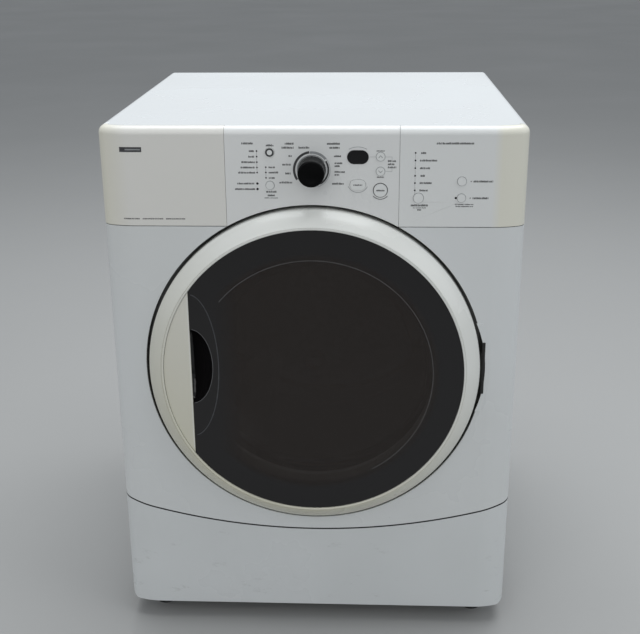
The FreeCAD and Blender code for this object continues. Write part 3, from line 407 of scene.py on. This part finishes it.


# Recess shade and soil: painted shade, with some grease and lint, that darkens the walls of the round recess
# and the hinge pocket.
pocket_edge = 296 * MM
recess_shade_and_soil, given, put = shader_group("recess_shade_and_soil", [], [("Mask", NUMBER)])
spot = placed_round(recess_shade_and_soil, door_z)
inside = ramp(recess_shade_and_soil, spot["Radius"], pocket_edge + 1.5 * MM, pocket_edge)
deep = ramp(recess_shade_and_soil, spot["Depth"], front + 0.8 * MM, front + 5 * MM, 0, 0.93)
recess_shade_and_soil.links.new(worked_out(recess_shade_and_soil, "MULTIPLY", inside, deep), put["Mask"])

# Seam shade: painted shade on the toe panel's hooked top, under the front panel's bowed edge.
bow_z, hook_radius = 1275.3 * MM, 1080.8 * MM
seam_shade, given, put = shader_group("seam_shade", [], [("Mask", NUMBER)])
spot = placed_round(seam_shade, bow_z)
seam_shade.links.new(ramp(seam_shade, spot["Radius"], hook_radius + 1.1 * MM, hook_radius + 0.5 * MM),
                     put["Mask"])

enamel = finish_of("white_enamel", (0.735, 0.755, 0.76), (0.70, 0.72, 0.725), 0.2, 0.32, size=2.5,
                   coat=0.3, grain_size=420, grain_depth=0.04, marked=0.3, mark_height=0.9)
# The front panel's enamel goes near-black deep in the door recess: painted shade with some grease and lint.
front_enamel = finish_of("front_enamel", (0.735, 0.755, 0.76), (0.69, 0.705, 0.70), 0.2, 0.32, size=2.5,
                         coat=0.3, grain_size=420, grain_depth=0.04, marked=0.05, mark_height=0.9,
                         layers=[(recess_shade_and_soil, {}, (0.045, 0.044, 0.036))])
# The toe panel's enamel carries a near-black line of painted shade along its hooked top.
toe_enamel = finish_of("toe_enamel", (0.72, 0.74, 0.745), (0.675, 0.695, 0.695), 0.22, 0.38, size=4,
                       coat=0.3, grain_size=420, grain_depth=0.04, marked=0.6, mark_height=0.34,
                       layers=[(seam_shade, {}, (0.012, 0.012, 0.012))])
dress(["left_side_panel", "right_side_panel"], enamel)
dress(["front_panel"], front_enamel, edge=1.8 * MM)
dress(["toe_panel"], toe_enamel, edge=1.8 * MM)

# ---- Top panel --------------------------------------------------------------------------
# One pressing of steel sheet with rolled edges, sprayed with white enamel and baked.
# Its front tongue slips under the console's lip.
top_enamel = finish_of("top_enamel", (0.715, 0.73, 0.735), (0.69, 0.71, 0.72), 0.2, 0.32, size=2.5,
                       coat=0.1, specular=0.25, grain_size=420, grain_depth=0.03, marked=0.06, mark_height=2)
dress(["top_panel"], top_enamel)


# ---- Rear panel -------------------------------------------------------------------------
# Zinc-coated sheet, held by hexagon-headed sheet screws along its edges.  A pressed cover
# over the terminal block hangs on one screw beside the supply cord's hole.
def prism(outline, near, far):
    """A straight prism from an (x, z) outline, between two depths."""
    count = len(outline)
    corners = [(x, near, z) for x, z in outline] + [(x, far, z) for x, z in outline]
    faces = [tuple(range(count)), tuple(range(2 * count - 1, count - 1, -1))]
    faces += [(k, (k + 1) % count, count + (k + 1) % count, count + k) for k in range(count)]
    return corners, faces


def round_outline(x, z, radius, sides):
    """A regular outline of some sides round a point."""
    return [(x + radius * math.sin(2 * math.pi * k / sides),
             z + radius * math.cos(2 * math.pi * k / sides)) for k in range(sides)]


rear_low, rear_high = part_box("rear_panel")
rear_face = rear_high[1]
half_width = rear_high[0]
dress(["rear_panel"], zinc)
screw_inset, screw_pitch = 8 * MM, 118 * MM
washer_radius, head_radius = 6.5 * MM, 4.2 * MM
sunk, washer_top, head_top = 0.2 * MM, 0.8 * MM, 4 * MM
screw_places = [(side * (half_width - screw_inset), rear_low[2] + 20 * MM + step * screw_pitch)
                for side in (-1, 1) for step in range(7)]
screw_places += [(x * MM, rear_high[2] - screw_inset) for x in (-220, -75, 75, 220)]
screw_places += [(x * MM, rear_low[2] + 9 * MM) for x in (-220, 220)]
screws = []
for x, z in screw_places:
    screws.append(prism(round_outline(x, z, washer_radius, 24), rear_face - sunk,
                        rear_face + washer_top))
    screws.append(prism(round_outline(x, z, head_radius, 6), rear_face + washer_top - sunk,
                        rear_face + head_top))
made_piece("rear_screws", screws, turned_steel, "cabinet", edge=0.3 * MM)
cover_low, cover_high, cover_tall = (178 * MM, 798 * MM), (240 * MM, 868 * MM), 9 * MM
cover_screw = (209 * MM, 833 * MM)
cover_outline = [cover_low, (cover_high[0], cover_low[1]), cover_high, (cover_low[0], cover_high[1])]
made_piece("terminal_cover", [prism(cover_outline, rear_face - sunk, rear_face + cover_tall)], zinc,
           "cabinet", edge=2.5 * MM)
made_piece("terminal_cover_screw",
           [prism(round_outline(*cover_screw, head_radius, 6), rear_face + cover_tall - sunk,
                  rear_face + 12 * MM)], turned_steel, "cabinet", edge=0.3 * MM)

# ---- Console panels ---------------------------------------------------------------------
# Three moulded panels of pale almond plastic, clipped side by side over the top front edge.
# Sun and age have yellowed the left panel, and the colour turns yellower towards both swept ends.
# Swept end tint: the colour turns yellower where the panels sweep back at their ends.
swept_end_tint, given, put = shader_group("swept_end_tint", [("Start", NUMBER, 0.3), ("End", NUMBER, 0.33)],
                                  [("Mask", NUMBER)])
spot = step_in(swept_end_tint, "ShaderNodeSeparateXYZ", [
    ("Vector", step_in(swept_end_tint, "ShaderNodeTexCoord").outputs["Object"])]).outputs
swept_end_tint.links.new(ramp(swept_end_tint, worked_out(swept_end_tint, "ABSOLUTE", spot["X"]), given["Start"], given["End"]),
                 put["Mask"])
left_console = finish_of("console_plastic_aged", (0.79, 0.775, 0.735), (0.76, 0.75, 0.71), 0.24, 0.38,
                         size=3, coat=0.15, grain_size=1500, grain_depth=0.1,
                         layers=[(swept_end_tint, {"Start": 0.295, "End": 0.335}, (0.77, 0.75, 0.65))])
centre_console = finish_of("console_plastic", (0.795, 0.80, 0.79), (0.765, 0.77, 0.76), 0.24, 0.38,
                           size=3, coat=0.15, grain_size=1500, grain_depth=0.1)
right_console = finish_of("console_plastic_right", (0.795, 0.805, 0.795), (0.765, 0.775, 0.765), 0.24,
                          0.38, size=3, coat=0.15, grain_size=1500, grain_depth=0.1,
                          layers=[(swept_end_tint, {"Start": 0.286, "End": 0.300}, (0.79, 0.775, 0.68))])
dress(["console_left_panel"], left_console, edge=0.7 * MM)
dress(["console_control_panel"], centre_console, edge=0.7 * MM)
dress(["console_right_panel"], right_console, edge=0.7 * MM)
board_green = finish_of("board_lacquer", (0.03, 0.14, 0.06), (0.02, 0.1, 0.05), 0.25, 0.4, size=60)
dress(["control_board"], board_green)

# ---- Display window ---------------------------------------------------------------------
# A long-round lens moulded in smoked acrylic over the time display.
# It is laid on the control panel and glued at its rim.
lens_smoke = finish_of("display_lens", (0.006, 0.006, 0.007), (0.009, 0.009, 0.01), 0.1, 0.2, size=30,
                       specular=0.35, grain_depth=0.02)
dress(["display_window"], lens_smoke)

# ---- Push buttons -----------------------------------------------------------------------
# Moulded caps in the console's colour, each in a thin grey ring round its rim.  The power button
# has a heavy dark ring, and the stop button a dark one.
button_skin = finish_of("button_plastic", (0.80, 0.81, 0.80), (0.77, 0.78, 0.77), 0.28, 0.4, size=60)
buttons = [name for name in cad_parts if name.endswith("_button")]
dress(buttons, button_skin, edge=0.7 * MM)
ink = finish_of("legend_ink", (0.02, 0.02, 0.022), (0.035, 0.035, 0.037), 0.5, 0.65, size=200)
pale_ink = finish_of("pale_legend_ink", (0.27, 0.28, 0.285), (0.33, 0.34, 0.345), 0.5, 0.65, size=200)
print_front, print_back = front - 0.12 * MM, front + 0.1 * MM


def band(x, z, inner, outer, near, far, start=0.0, end=360.0, steps=64):
    """A flat ring, or part of one from a start to an end in clock degrees."""
    whole = end - start >= 360
    count = steps if whole else steps + 1
    corners, faces = [], []
    for k in range(count):
        turn = math.radians(start + (end - start) * k / steps)
        for radius in (inner, outer):
            for depth in (near, far):
                corners.append((x + radius * math.sin(turn), depth, z + radius * math.cos(turn)))
    for k in range(count if whole else steps):
        here, after = 4 * k, 4 * ((k + 1) % count)
        faces += [(here, here + 2, after + 2, after), (here + 1, after + 1, after + 3, here + 3),
                  (here, after, after + 1, here + 1), (here + 2, here + 3, after + 3, after + 2)]
    if not whole:
        last = 4 * steps
        faces += [(0, 1, 3, 2), (last, last + 2, last + 3, last + 1)]
    return corners, faces


def middle_of(name):
    """The middle (x, z) and half the height of a CAD node."""
    low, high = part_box(name)
    return (low[0] + high[0]) / 2, (low[2] + high[2]) / 2, (high[2] - low[2]) / 2


rings, dark_rings = [], []
for name in buttons:
    x, z, radius = middle_of(name)
    if name in ("power_button", "stop_button", "start_button"):
        continue
    rings.append(band(x, z, radius + 0.1 * MM, radius + 0.9 * MM, print_front, print_back))
x, z, radius = middle_of("power_button")
power_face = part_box("power_button")[0][1]
dark_rings.append(band(x, z, radius - 3.1 * MM, radius - 0.5 * MM, power_face - 0.1 * MM,
                       power_face + 0.3 * MM))
x, z, radius = middle_of("stop_button")
dark_rings.append(band(x, z, radius + 0.2 * MM, radius + 1.3 * MM, print_front, print_back))
dark_rings.append(band(x, z, radius + 3.6 * MM, radius + 4.6 * MM, print_front, print_back, 130, 230, 24))
x, z, radius = middle_of("start_button")
rings.append(band(x, z + 4 * MM, 16.2 * MM, 17 * MM, print_front, print_back, 115, 245, 32))
made_piece("button_rings", rings, pale_ink, "cabinet")
made_piece("stop_ring", dark_rings[1:], ink, "cabinet")
made_piece("power_button_ring", dark_rings[:1], ink, "power_button")


# ---- Console legends --------------------------------------------------------------------
# Pad-printed ink: short dashes stand for the words beside the lamps, round the knob and
# under the buttons, with thin rules that join them.
def rule(x0, x1, z0, z1):
    """A thin printed bar."""
    return prism([(x0 * MM, z0 * MM), (x1 * MM, z0 * MM), (x1 * MM, z1 * MM), (x0 * MM, z1 * MM)],
                 print_front, print_back)


dash_sizes = random.Random(11)


def dashes(x0, x1, z, tall):
    """A row of short upright dashes from x0 to x1, centred on z."""
    row, x = [], x0
    while x < x1 - 0.5:
        wide = dash_sizes.uniform(1.0, 1.5)
        drop = dash_sizes.uniform(0.0, 0.3) * tall
        row.append(rule(x, min(x + wide, x1), z - tall / 2, z + tall / 2 - drop))
        x += wide + dash_sizes.choice((0.4, 0.4, 0.45, 1.0))
    return row


# Each word is (left end, right end, middle height, height) in millimetres, before it is drawn a
# half taller: lamps' words on the left, then the knob's, the display's and the right panel's.
words = [
    (-110.8, -92.8, 888.2, 2.4), (-99.3, -91.4, 875.9, 2), (-100.5, -91.4, 867.0, 2),
    (-111.6, -90.5, 858.2, 2), (-113.2, -90.5, 849.7, 2), (-117.2, -90.5, 841.4, 2),
    (-119.2, -91.0, 823.8, 2), (-123.2, -91.0, 814.8, 2), (-68.6, -58.6, 850.1, 2),
    (-68.6, -53.4, 841.7, 2), (-68.6, -59.4, 833.0, 2), (-72.2, -60.2, 884.9, 2.2),
    (-73.4, -56.6, 810.6, 2.2), (-71.0, -59.0, 804.8, 2.2), (-76.2, -54.2, 800.4, 0.9),
    (-42.3, -28.7, 887.7, 2.2), (-47.4, -28.7, 881.4, 2.2), (-20.7, -3.5, 881.5, 2.2),
    (-36.7, -31.8, 868.2, 2.2), (-46.7, -33.5, 854.5, 2.2), (-42.3, -33.5, 840.3, 2.2),
    (-51.8, -31.0, 825.7, 2.2), (24.0, 44.0, 887.7, 2.2), (28.0, 44.0, 881.4, 2.2),
    (35.0, 46.0, 868.0, 2), (36.0, 48.0, 856.9, 2), (36.0, 44.0, 852.2, 2),
    (36.0, 52.0, 843.0, 2), (36.0, 43.0, 838.2, 2), (32.0, 51.4, 824.0, 2.2),
    (102.0, 114.8, 876.4, 1.2), (103.0, 114.0, 834.6, 1.2), (120.0, 133.0, 860.4, 2),
    (120.0, 130.0, 855.4, 2), (120.0, 133.0, 850.4, 2), (195.7, 253.6, 888.4, 2.2),
    (171.8, 179.7, 873.3, 2.1), (170.6, 197.0, 861.4, 2.1), (170.6, 186.2, 849.2, 2.1),
    (171.8, 179.0, 837.0, 2.1), (170.6, 189.4, 825.3, 2.1), (170.6, 183.8, 813.5, 2.1),
    (157.4, 184.2, 789.2, 2.3), (161.0, 182.0, 785.0, 0.9), (167.8, 173.8, 781.8, 1.6),
    (255.5, 286.0, 828.2, 2.3), (255.0, 280.6, 801.2, 2.3), (227.6, 256.4, 790.9, 1.2),
    (228.6, 256.4, 787.6, 1.2)]
taller = 1.5
legends = [bar for x0, x1, z, tall in words for bar in dashes(x0, x1, z, taller * tall)]
made_piece("console_words", legends, ink, "cabinet")
fine_rules = [rule(-87.4, -87.0, 841.4, 875.9), rule(-73.4, -73.0, 833.0, 850.1),
              rule(162.9, 163.3, 806.0, 873.3), rule(91.5, 100.5, 866.6, 867.0),
              rule(116.4, 126.6, 866.6, 867.0), rule(126.2, 126.6, 862.0, 867.0),
              rule(116.4, 126.6, 843.6, 844.0), rule(126.2, 126.6, 843.6, 849.0),
              rule(-87.2, -84.5, 823.6, 824.0), rule(-87.2, -84.5, 814.6, 815.0)]
fine_rules.append(band(72.6 * MM, 852 * MM, 30.2 * MM, 30.9 * MM, print_front, print_back, -28, 28, 24))
chevrons, time_face = [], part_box("time_up_button")[0][1]
time_x, chevron_wide = 108.4, 3.2
for z, way in ((867.3, 1), (843.8, -1)):
    for side in (-1, 1):
        end_x = (time_x + side * chevron_wide) * MM
        stroke = [(end_x, (z - way * 1.2) * MM), (end_x, (z - way * 2.0) * MM),
                  (time_x * MM, (z + way * 1.4) * MM), (time_x * MM, (z + way * 2.2) * MM)]
        chevrons.append(prism(stroke, time_face - 0.1 * MM, time_face + 0.3 * MM))
made_piece("console_rules", fine_rules, pale_ink, "cabinet")
made_piece("time_up_mark", chevrons[:2], ink, "time_up_button")
made_piece("time_down_mark", chevrons[2:], ink, "time_down_button")
for name, wide in (("start_button", 7.0), ("stop_button", 6.5)):
    x, z, radius = middle_of(name)
    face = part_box(name)[0][1]
    marks_on = [([(corner[0], corner[1] - print_front + face - 0.1 * MM, corner[2])
                  for corner in corners], faces)
                for corners, faces in dashes(x / MM - wide, x / MM + wide, z / MM, 2.6)]
    made_piece(name + "_word", marks_on, ink, name)

# ---- Indicator lamps --------------------------------------------------------------------
# Small lenses moulded in smoked plastic and pressed into the panels, over the lamps of the
# control board behind them.
# Each place is (x, z, radius) in millimetres.
lamp_places = [(-87.2, z, 1.25) for z in (875.9, 867.0, 858.2, 849.7, 841.4)]
lamp_places += [(-87.2, 823.8, 1.9), (-87.2, 814.8, 1.9)]
lamp_places += [(-73.2, z, 1.25) for z in (850.1, 841.7, 833.0)]
lamp_places += [(163.1, z, 1.35) for z in (873.3, 861.4, 849.2, 837.0, 825.3, 813.5)]
lamp_places += [(228.3, 801.2, 1.8), (251.6, 828.2, 0.8), (251.0, 801.2, 0.8)]
lamps = [prism(round_outline(x * MM, z * MM, radius * MM, 20), front - 0.35 * MM, front + 0.1 * MM)
         for x, z, radius in lamp_places]
made_piece("indicator_lenses", lamps, lens_smoke, "cabinet", edge=0.12 * MM)

# ---- Badge plate ------------------------------------------------------------------------
# A plain printed foil plate on the swept end of the left panel, and a row of dashes low down.
# Both follow the sweep of the panel.
# The sweep is an arc of this radius that starts where the flat of the console's face ends.
sweep_radius, sweep_width = 110 * MM, 54.97 * MM
sweep_start = half_width - sweep_width


def sweep_depth(x):
    """How far the console's face lies behind the front plane at x."""
    past = max(0.0, abs(x) - sweep_start)
    return sweep_radius - math.sqrt(sweep_radius ** 2 - past ** 2)


def curved_plate(x0, x1, z0, z1, near, far, steps=12):
    """A thin plate that lies on the console's swept face."""
    corners, faces = [], []
    for k in range(steps + 1):
        x = (x0 + (x1 - x0) * k / steps) * MM
        depth = front + sweep_depth(x)
        corners += [(x, depth + near, z0 * MM), (x, depth + near, z1 * MM), (x, depth + far, z1 * MM),
                    (x, depth + far, z0 * MM)]
    for k in range(steps):
        here, after = 4 * k, 4 * k + 4
        faces += [(here + side, here + (side + 1) % 4, after + (side + 1) % 4, after + side)
                  for side in range(4)]
    last = 4 * steps
    return corners, faces + [(0, 1, 2, 3), (last + 3, last + 2, last + 1, last)]


badge_foil = finish_of("badge_foil", (0.06, 0.06, 0.065), (0.09, 0.09, 0.095), 0.25, 0.4, size=120,
                       metallic=0.5)
made_piece("badge_plate", [curved_plate(-306, -270.5, 873.9, 881.8, -0.35 * MM, 0.1 * MM)], badge_foil,
           "cabinet", edge=0.12 * MM)
made_piece("badge_stripe", [curved_plate(-297, -272.5, 876.9, 878.8, -0.5 * MM, 0)], pale_ink,
           "cabinet")
motto = []
for x, end in ((-306.0, -281.0), (-275.0, -243.0), (-237.0, -206.0)):
    while x < end:
        wide = dash_sizes.uniform(0.8, 1.3)
        motto.append(curved_plate(x, x + wide, 764.2, 766.2, -0.12 * MM, 0.1 * MM, 1))
        x += wide + dash_sizes.choice((0.5, 0.5, 0.6, 0.9))
made_piece("console_line", motto, ink, "cabinet")


# ---- Selector knob ----------------------------------------------------------------------
# A black moulded cap with a rounded rim, a shallow dished face and fine grip flutes.  It stands
# in a printed ring of dark and pale arcs on the control panel, with an arc of painted shade on
# its right, under the skirt.
def turned_cap(profile, x, z, steps=96, flute=0.0, flutes=1):
    """A solid turned about a front-to-back axis.  Its profile is (radius, depth, share of the
    flutes' depth) from axis to axis."""
    inner = profile[1:-1]
    corners = [(x, profile[0][1], z), (x, profile[-1][1], z)]
    for k in range(steps):
        turn = 2 * math.pi * k / steps
        for radius, depth, cut_in in inner:
            reach_out = radius - cut_in * flute * (0.5 + 0.5 * math.cos(flutes * turn))
            corners.append((x + reach_out * math.sin(turn), depth, z + reach_out * math.cos(turn)))
    count, faces = len(inner), []
    for k in range(steps):
        here, after = 2 + count * k, 2 + count * ((k + 1) % steps)
        faces.append((0, after, here))
        faces.append((1, here + count - 1, after + count - 1))
        faces += [(here + j, after + j, after + j + 1, here + j + 1) for j in range(count - 1)]
    return corners, faces


knob_black = finish_of("knob_black", (0.0012, 0.0012, 0.0014), (0.002, 0.002, 0.0022), 0.22, 0.32, size=30,
                       specular=0.1)
knob_low, knob_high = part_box("selector_knob")
knob_x, knob_z = (knob_low[0] + knob_high[0]) / 2, (knob_low[2] + knob_high[2]) / 2
knob_radius = (knob_high[2] - knob_low[2]) / 2
knob_face = knob_low[1]
dish, rim_bow, flute_deep = 1.1 * MM, 3 * MM, 0.35 * MM
dish_radius, bow_radius = knob_radius - 6 * MM, knob_radius - 4.2 * MM
stem, skirt_back = 3 * MM, front - 1 * MM
dish_floor = knob_face + 0.1 * MM + dish
knob_profile = [(0, dish_floor, 0)]
knob_profile += [(dish_radius * k / 5, dish_floor - dish * (k / 5) ** 2, 0) for k in (1, 2, 3, 4, 5)]
knob_profile += [(bow_radius + rim_bow * math.sin(math.radians(turn)),
                  knob_face + rim_bow - rim_bow * math.cos(math.radians(turn)), 0)
                 for turn in (0, 15, 30, 45, 60, 75, 90)]
knob_profile += [(knob_radius - 0.8 * MM, front - 28 * MM, 1), (knob_radius - 0.2 * MM, front - 9 * MM, 1),
                 (knob_radius - 0.1 * MM, front - 7 * MM, 0), (knob_radius, skirt_back, 0),
                 (stem, skirt_back, 0), (stem, knob_high[1], 0), (0, knob_high[1], 0)]
made_piece("knob_cap", [turned_cap(knob_profile, knob_x, knob_z, 192, flute_deep, 48)], knob_black,
           "selector_knob", replaced=["selector_knob"], crease=50)
ring_ink_and_shade = finish_of("knob_ring_ink_and_shade", (0.035, 0.035, 0.037), (0.05, 0.05, 0.052), 0.4, 0.5, size=200)


def arc(inner, outer, start, end, steps):
    """A flat arc round the knob, from a start to an end in clock degrees; all are print except one arc of
    painted shade.
    """
    return band(knob_x, knob_z, inner * MM, outer * MM, print_front, print_back, start, end, steps)


made_piece("knob_ring_dark_and_shade", [
    arc(26.4, 30.2, 236, 352, 48),
    # This right-hand dark arc is painted shade of the knob's skirt, not print.
    arc(24.6, 27.4, 58, 150, 48)],
    ring_ink_and_shade, "cabinet")
made_piece("knob_ring_pale", [
    arc(25.6, 29.6, 354, 412, 48),
    arc(22.4, 24.0, 205, 418, 72),
    arc(28.6, 29.2, 52, 160, 48)],
    pale_ink, "cabinet")


# ---- Door ring --------------------------------------------------------------------------
# The outer ring is moulded in almond plastic: a slightly crowned cone with a fine step and a
# bright bead at its inner rim.  It is darker and yellower low on the handle side: yellowing where
# hands reach, with painted shade low on the ring.
def lathe(profile, x, z, steps=192):
    """A closed ring turned from (radius, depth) points about a front-to-back axis."""
    corners, faces, count = [], [], len(profile)
    for k in range(steps):
        turn = 2 * math.pi * k / steps
        corners += [(x + radius * math.sin(turn), depth, z + radius * math.cos(turn))
                    for radius, depth in profile]
    for k in range(steps):
        here, after = count * k, count * ((k + 1) % steps)
        faces += [(here + j, after + j, after + (j + 1) % count, here + (j + 1) % count)
                  for j in range(count)]
    return corners, faces


# Hand soil and shade: yellowing and grease, with painted shade, that grow towards the lower left, where the
# grip is.
hand_soil_and_shade, given, put = shader_group("hand_soil_and_shade", [], [("Mask", NUMBER)])
spot = step_in(hand_soil_and_shade, "ShaderNodeSeparateXYZ", [
    ("Vector", step_in(hand_soil_and_shade, "ShaderNodeTexCoord").outputs["Object"])]).outputs
lean = worked_out(hand_soil_and_shade, "MULTIPLY_ADD", spot["X"], 0.55, 0)
hand_soil_and_shade.links.new(ramp(hand_soil_and_shade, worked_out(hand_soil_and_shade, "ADD", lean, spot["Z"]), 0.66, 0.24, 0, 0.95),
                    put["Mask"])
soiled_and_shaded_almond = (0.64, 0.62, 0.505)
# The ring's darker, yellower lower left is yellowing plus painted shade.
bezel = finish_of("bezel_plastic", (0.82, 0.825, 0.79), (0.79, 0.795, 0.76), 0.2, 0.32, size=4,
                  coat=0.25, grain_size=1500, grain_depth=0.05, layers=[(hand_soil_and_shade, {}, soiled_and_shaded_almond)])
ring_low, ring_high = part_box("door_ring")
ring_radius = (ring_high[0] - ring_low[0]) / 2
ring_front, ring_back = ring_low[1], ring_high[1]
rim_width, glazing_lap, wall = 28 * MM, 11 * MM, 3 * MM
rim_radius = ring_radius - rim_width
cone_outer, cone_inner = (ring_radius - 1.4 * MM, 21.6 * MM), (rim_radius + 6.2 * MM, 1.6 * MM)
crown, cone_steps = 0.9 * MM, 8
ring_profile = [(ring_radius, ring_back), (ring_radius, ring_front + 25 * MM),
                (ring_radius - 0.4 * MM, ring_front + 23.2 * MM)]
for k in range(cone_steps + 1):
    share = k / cone_steps
    swell = crown * math.sin(math.pi * share)
    ring_profile.append((cone_outer[0] + (cone_inner[0] - cone_outer[0]) * share + swell,
                         ring_front + cone_outer[1] + (cone_inner[1] - cone_outer[1]) * share - swell))
# The step and bead are (out from the rim, behind the ring's front) in millimetres.
step_and_bead = [(5.2, 0.8), (4.2, 0.4), (3.9, 1.3), (3.4, 1.3), (3.1, 0.3), (1.9, 0), (0.7, 0.2),
                 (0, 0.9), (0, 8)]
ring_profile += [(rim_radius + out * MM, ring_front + behind * MM) for out, behind in step_and_bead]
ring_profile += [(rim_radius - glazing_lap, ring_front + 8 * MM),
                 (rim_radius - glazing_lap, ring_front + 8 * MM + wall),
                 (rim_radius + 1.5 * MM, ring_front + 8 * MM + wall),
                 (ring_radius - wall, ring_front + 33.5 * MM), (ring_radius - wall, ring_back)]
made_piece("door_ring_moulding", [lathe(ring_profile, 0, door_z, 256)], bezel, "door",
           replaced=["door_ring"], crease=40)

# ---- Handle plate -----------------------------------------------------------------------
# A flat segment with a straight edge, moulded in pale plastic and clipped to the door ring.
# Fingers go behind that edge into the pocket.
# Like the ring, the plate darkens and yellows towards the lower left: yellowing plus painted shade.
plate_skin = finish_of("handle_plastic", (0.785, 0.77, 0.72), (0.755, 0.745, 0.695), 0.3, 0.42, size=5,
                       grain_size=1500, grain_depth=0.08, layers=[(hand_soil_and_shade, {}, soiled_and_shaded_almond)])
dress(["door_handle_plate"], plate_skin, edge=0.9 * MM)

plate_low, plate_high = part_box("door_handle_plate")
# A painted highlight: a thin bright strip along the plate's straight edge, where the edge catches the light.
edge_highlight_paint = finish_of("plate_edge_painted_highlight", (0.86, 0.86, 0.84), (0.83, 0.83, 0.81), 0.15, 0.25, size=40)
line_reach = math.sqrt(rim_radius ** 2 - plate_high[0] ** 2) - 9 * MM
line_left, line_right = plate_high[0] - 1.9 * MM, plate_high[0] - 1.1 * MM
line_outline = [(line_left, door_z - line_reach), (line_right, door_z - line_reach),
                (line_right, door_z + line_reach), (line_left, door_z + line_reach)]
made_piece("plate_edge_painted_highlight", [prism(line_outline, plate_low[1] - 0.08 * MM, plate_low[1] + 0.2 * MM)],
           edge_highlight_paint, "door")

# ---- Door window ------------------------------------------------------------------------
# A smoked acrylic disc: its rim is painted black from behind, and the browner middle lets a
# little light through to the glass bowl.  The finger pocket is part of the same moulding.
smoke = finish_of("smoked_acrylic", (0.009, 0.0082, 0.0088), (0.012, 0.011, 0.0118), 0.04, 0.08, size=2,
                  specular=0.42, grain_depth=0.01)
tree = smoke.node_tree
spot = placed_round(tree, door_z)
outside = ramp(tree, spot["Radius"], 196 * MM, 214 * MM, 0.6, 1, interpolation_type="SMOOTHSTEP")
beside_grip = ramp(tree, spot["Across"], -60 * MM, -170 * MM, interpolation_type="SMOOTHSTEP")
solid = worked_out(tree, "MAXIMUM", outside, beside_grip)
tree.links.new(solid, tree.nodes["Principled BSDF"].inputs["Alpha"])
base_colour = tree.nodes["Principled BSDF"].inputs["Base Color"]
brown = laid_over(tree, solid, (0.050, 0.034, 0.025, 1), base_colour.links[0].from_socket)
tree.links.new(brown, base_colour)
dress(["door_window"], smoke)
window_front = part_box("door_window")[0][1]
paint_line = finish_of("window_line", (0.13, 0.13, 0.135), (0.16, 0.16, 0.165), 0.3, 0.4, size=60)
made_piece("window_line", [band(0, door_z, 199.6 * MM, 200.2 * MM, window_front - 0.05 * MM,
                                window_front + 0.1 * MM, -50, 150, 160)],
           paint_line, "door")


grip_z, grip_reach, grip_steps = 518 * MM, 84, 40


def oval_line(half_wide, half_tall, wide):
    """A thin oval line round the grip, right of the handle plate's straight edge: a moulded line for the
    grip, and painted shade along the scoop's curved edge.
    """
    turns = [math.radians(90 - grip_reach + 2 * grip_reach * k / grip_steps)
             for k in range(grip_steps + 1)]
    outer = [(plate_high[0] + half_wide * math.sin(turn), grip_z + half_tall * math.cos(turn))
             for turn in turns]
    inner = [(plate_high[0] + (half_wide - wide) * math.sin(turn),
              grip_z + (half_tall - wide) * math.cos(turn)) for turn in reversed(turns)]
    return prism(outer + inner, window_front - 0.05 * MM, window_front + 0.1 * MM)


made_piece("grip_line", [oval_line(36.8 * MM, 67 * MM, 0.7 * MM)], paint_line, "door")
# The scoop line is painted shade: a thin grey curve where the shallow scoop round the grip changes its
# shading.
scoop_painted_shade_edge = finish_of("scoop_painted_shade_edge", (0.045, 0.047, 0.052), (0.06, 0.062, 0.068), 0.2, 0.3, size=60)
made_piece("scoop_painted_shade_edge", [oval_line(47 * MM, 128 * MM, 1.6 * MM)], scoop_painted_shade_edge, "door")

# ---- Door's inner side ------------------------------------------------------------------
# A white polypropylene inner panel holds the pressed glass bowl and its rubber gasket.
# The steel strike is screwed to it, and the pressed steel hinge is bolted to the cabinet.
white_plastic = finish_of("white_plastic", (0.76, 0.76, 0.74), (0.72, 0.72, 0.70), 0.25, 0.4)
dress(["door_inner_panel", "door_latch", "door_switch_plunger"], white_plastic)
bowl_glass = finish_of("bowl_glass", (0.85, 0.9, 0.9), (0.8, 0.86, 0.86), 0.02, 0.06, size=8,
                       grain_depth=0.0)
bowl_glass.node_tree.nodes["Principled BSDF"].inputs["Transmission Weight"].default_value = 1.0
dress(["door_glass"], bowl_glass)
dress(["door_gasket"], rubber)
dress(["door_strike"], turned_steel)
# The hinge's near-black colour is painted shade, standing in for the shade deep in the hinge pocket.
hinge_painted_shade_black = finish_of("hinge_steel", (0.035, 0.035, 0.034), (0.025, 0.025, 0.024), 0.4, 0.55, size=60,
                        metallic=0.6, dusty=0.3)
dress(["hinge_bracket", "door_hinge_leaf"], hinge_painted_shade_black)

# ---- Hinge pocket lip -------------------------------------------------------------------
# A pressed lip in the cabinet's enamel narrows the hinge pocket's mouth to a slim curved gap,
# so that only the knuckles show beside the ring.
pocket_middle, pocket_reach, lip_steps = 509.5 * MM, 80 * MM, 32
gap_edge, gap_swell, lip_edge = 283.6 * MM, 4.2 * MM, 294.2 * MM
inner_line, outer_line = [], []
for k in range(lip_steps + 1):
    share = 2 * k / lip_steps - 1
    z = pocket_middle + pocket_reach * share
    for line, radius in ((inner_line, gap_edge + gap_swell * (1 - share ** 2)), (outer_line, lip_edge)):
        line.append((math.sqrt(radius ** 2 - (z - door_z) ** 2), z))
made_piece("hinge_pocket_lip", [prism(inner_line + outer_line[::-1], front - 1.08 * MM, front + 0.1 * MM)],
           front_enamel, "cabinet", edge=0.4 * MM)
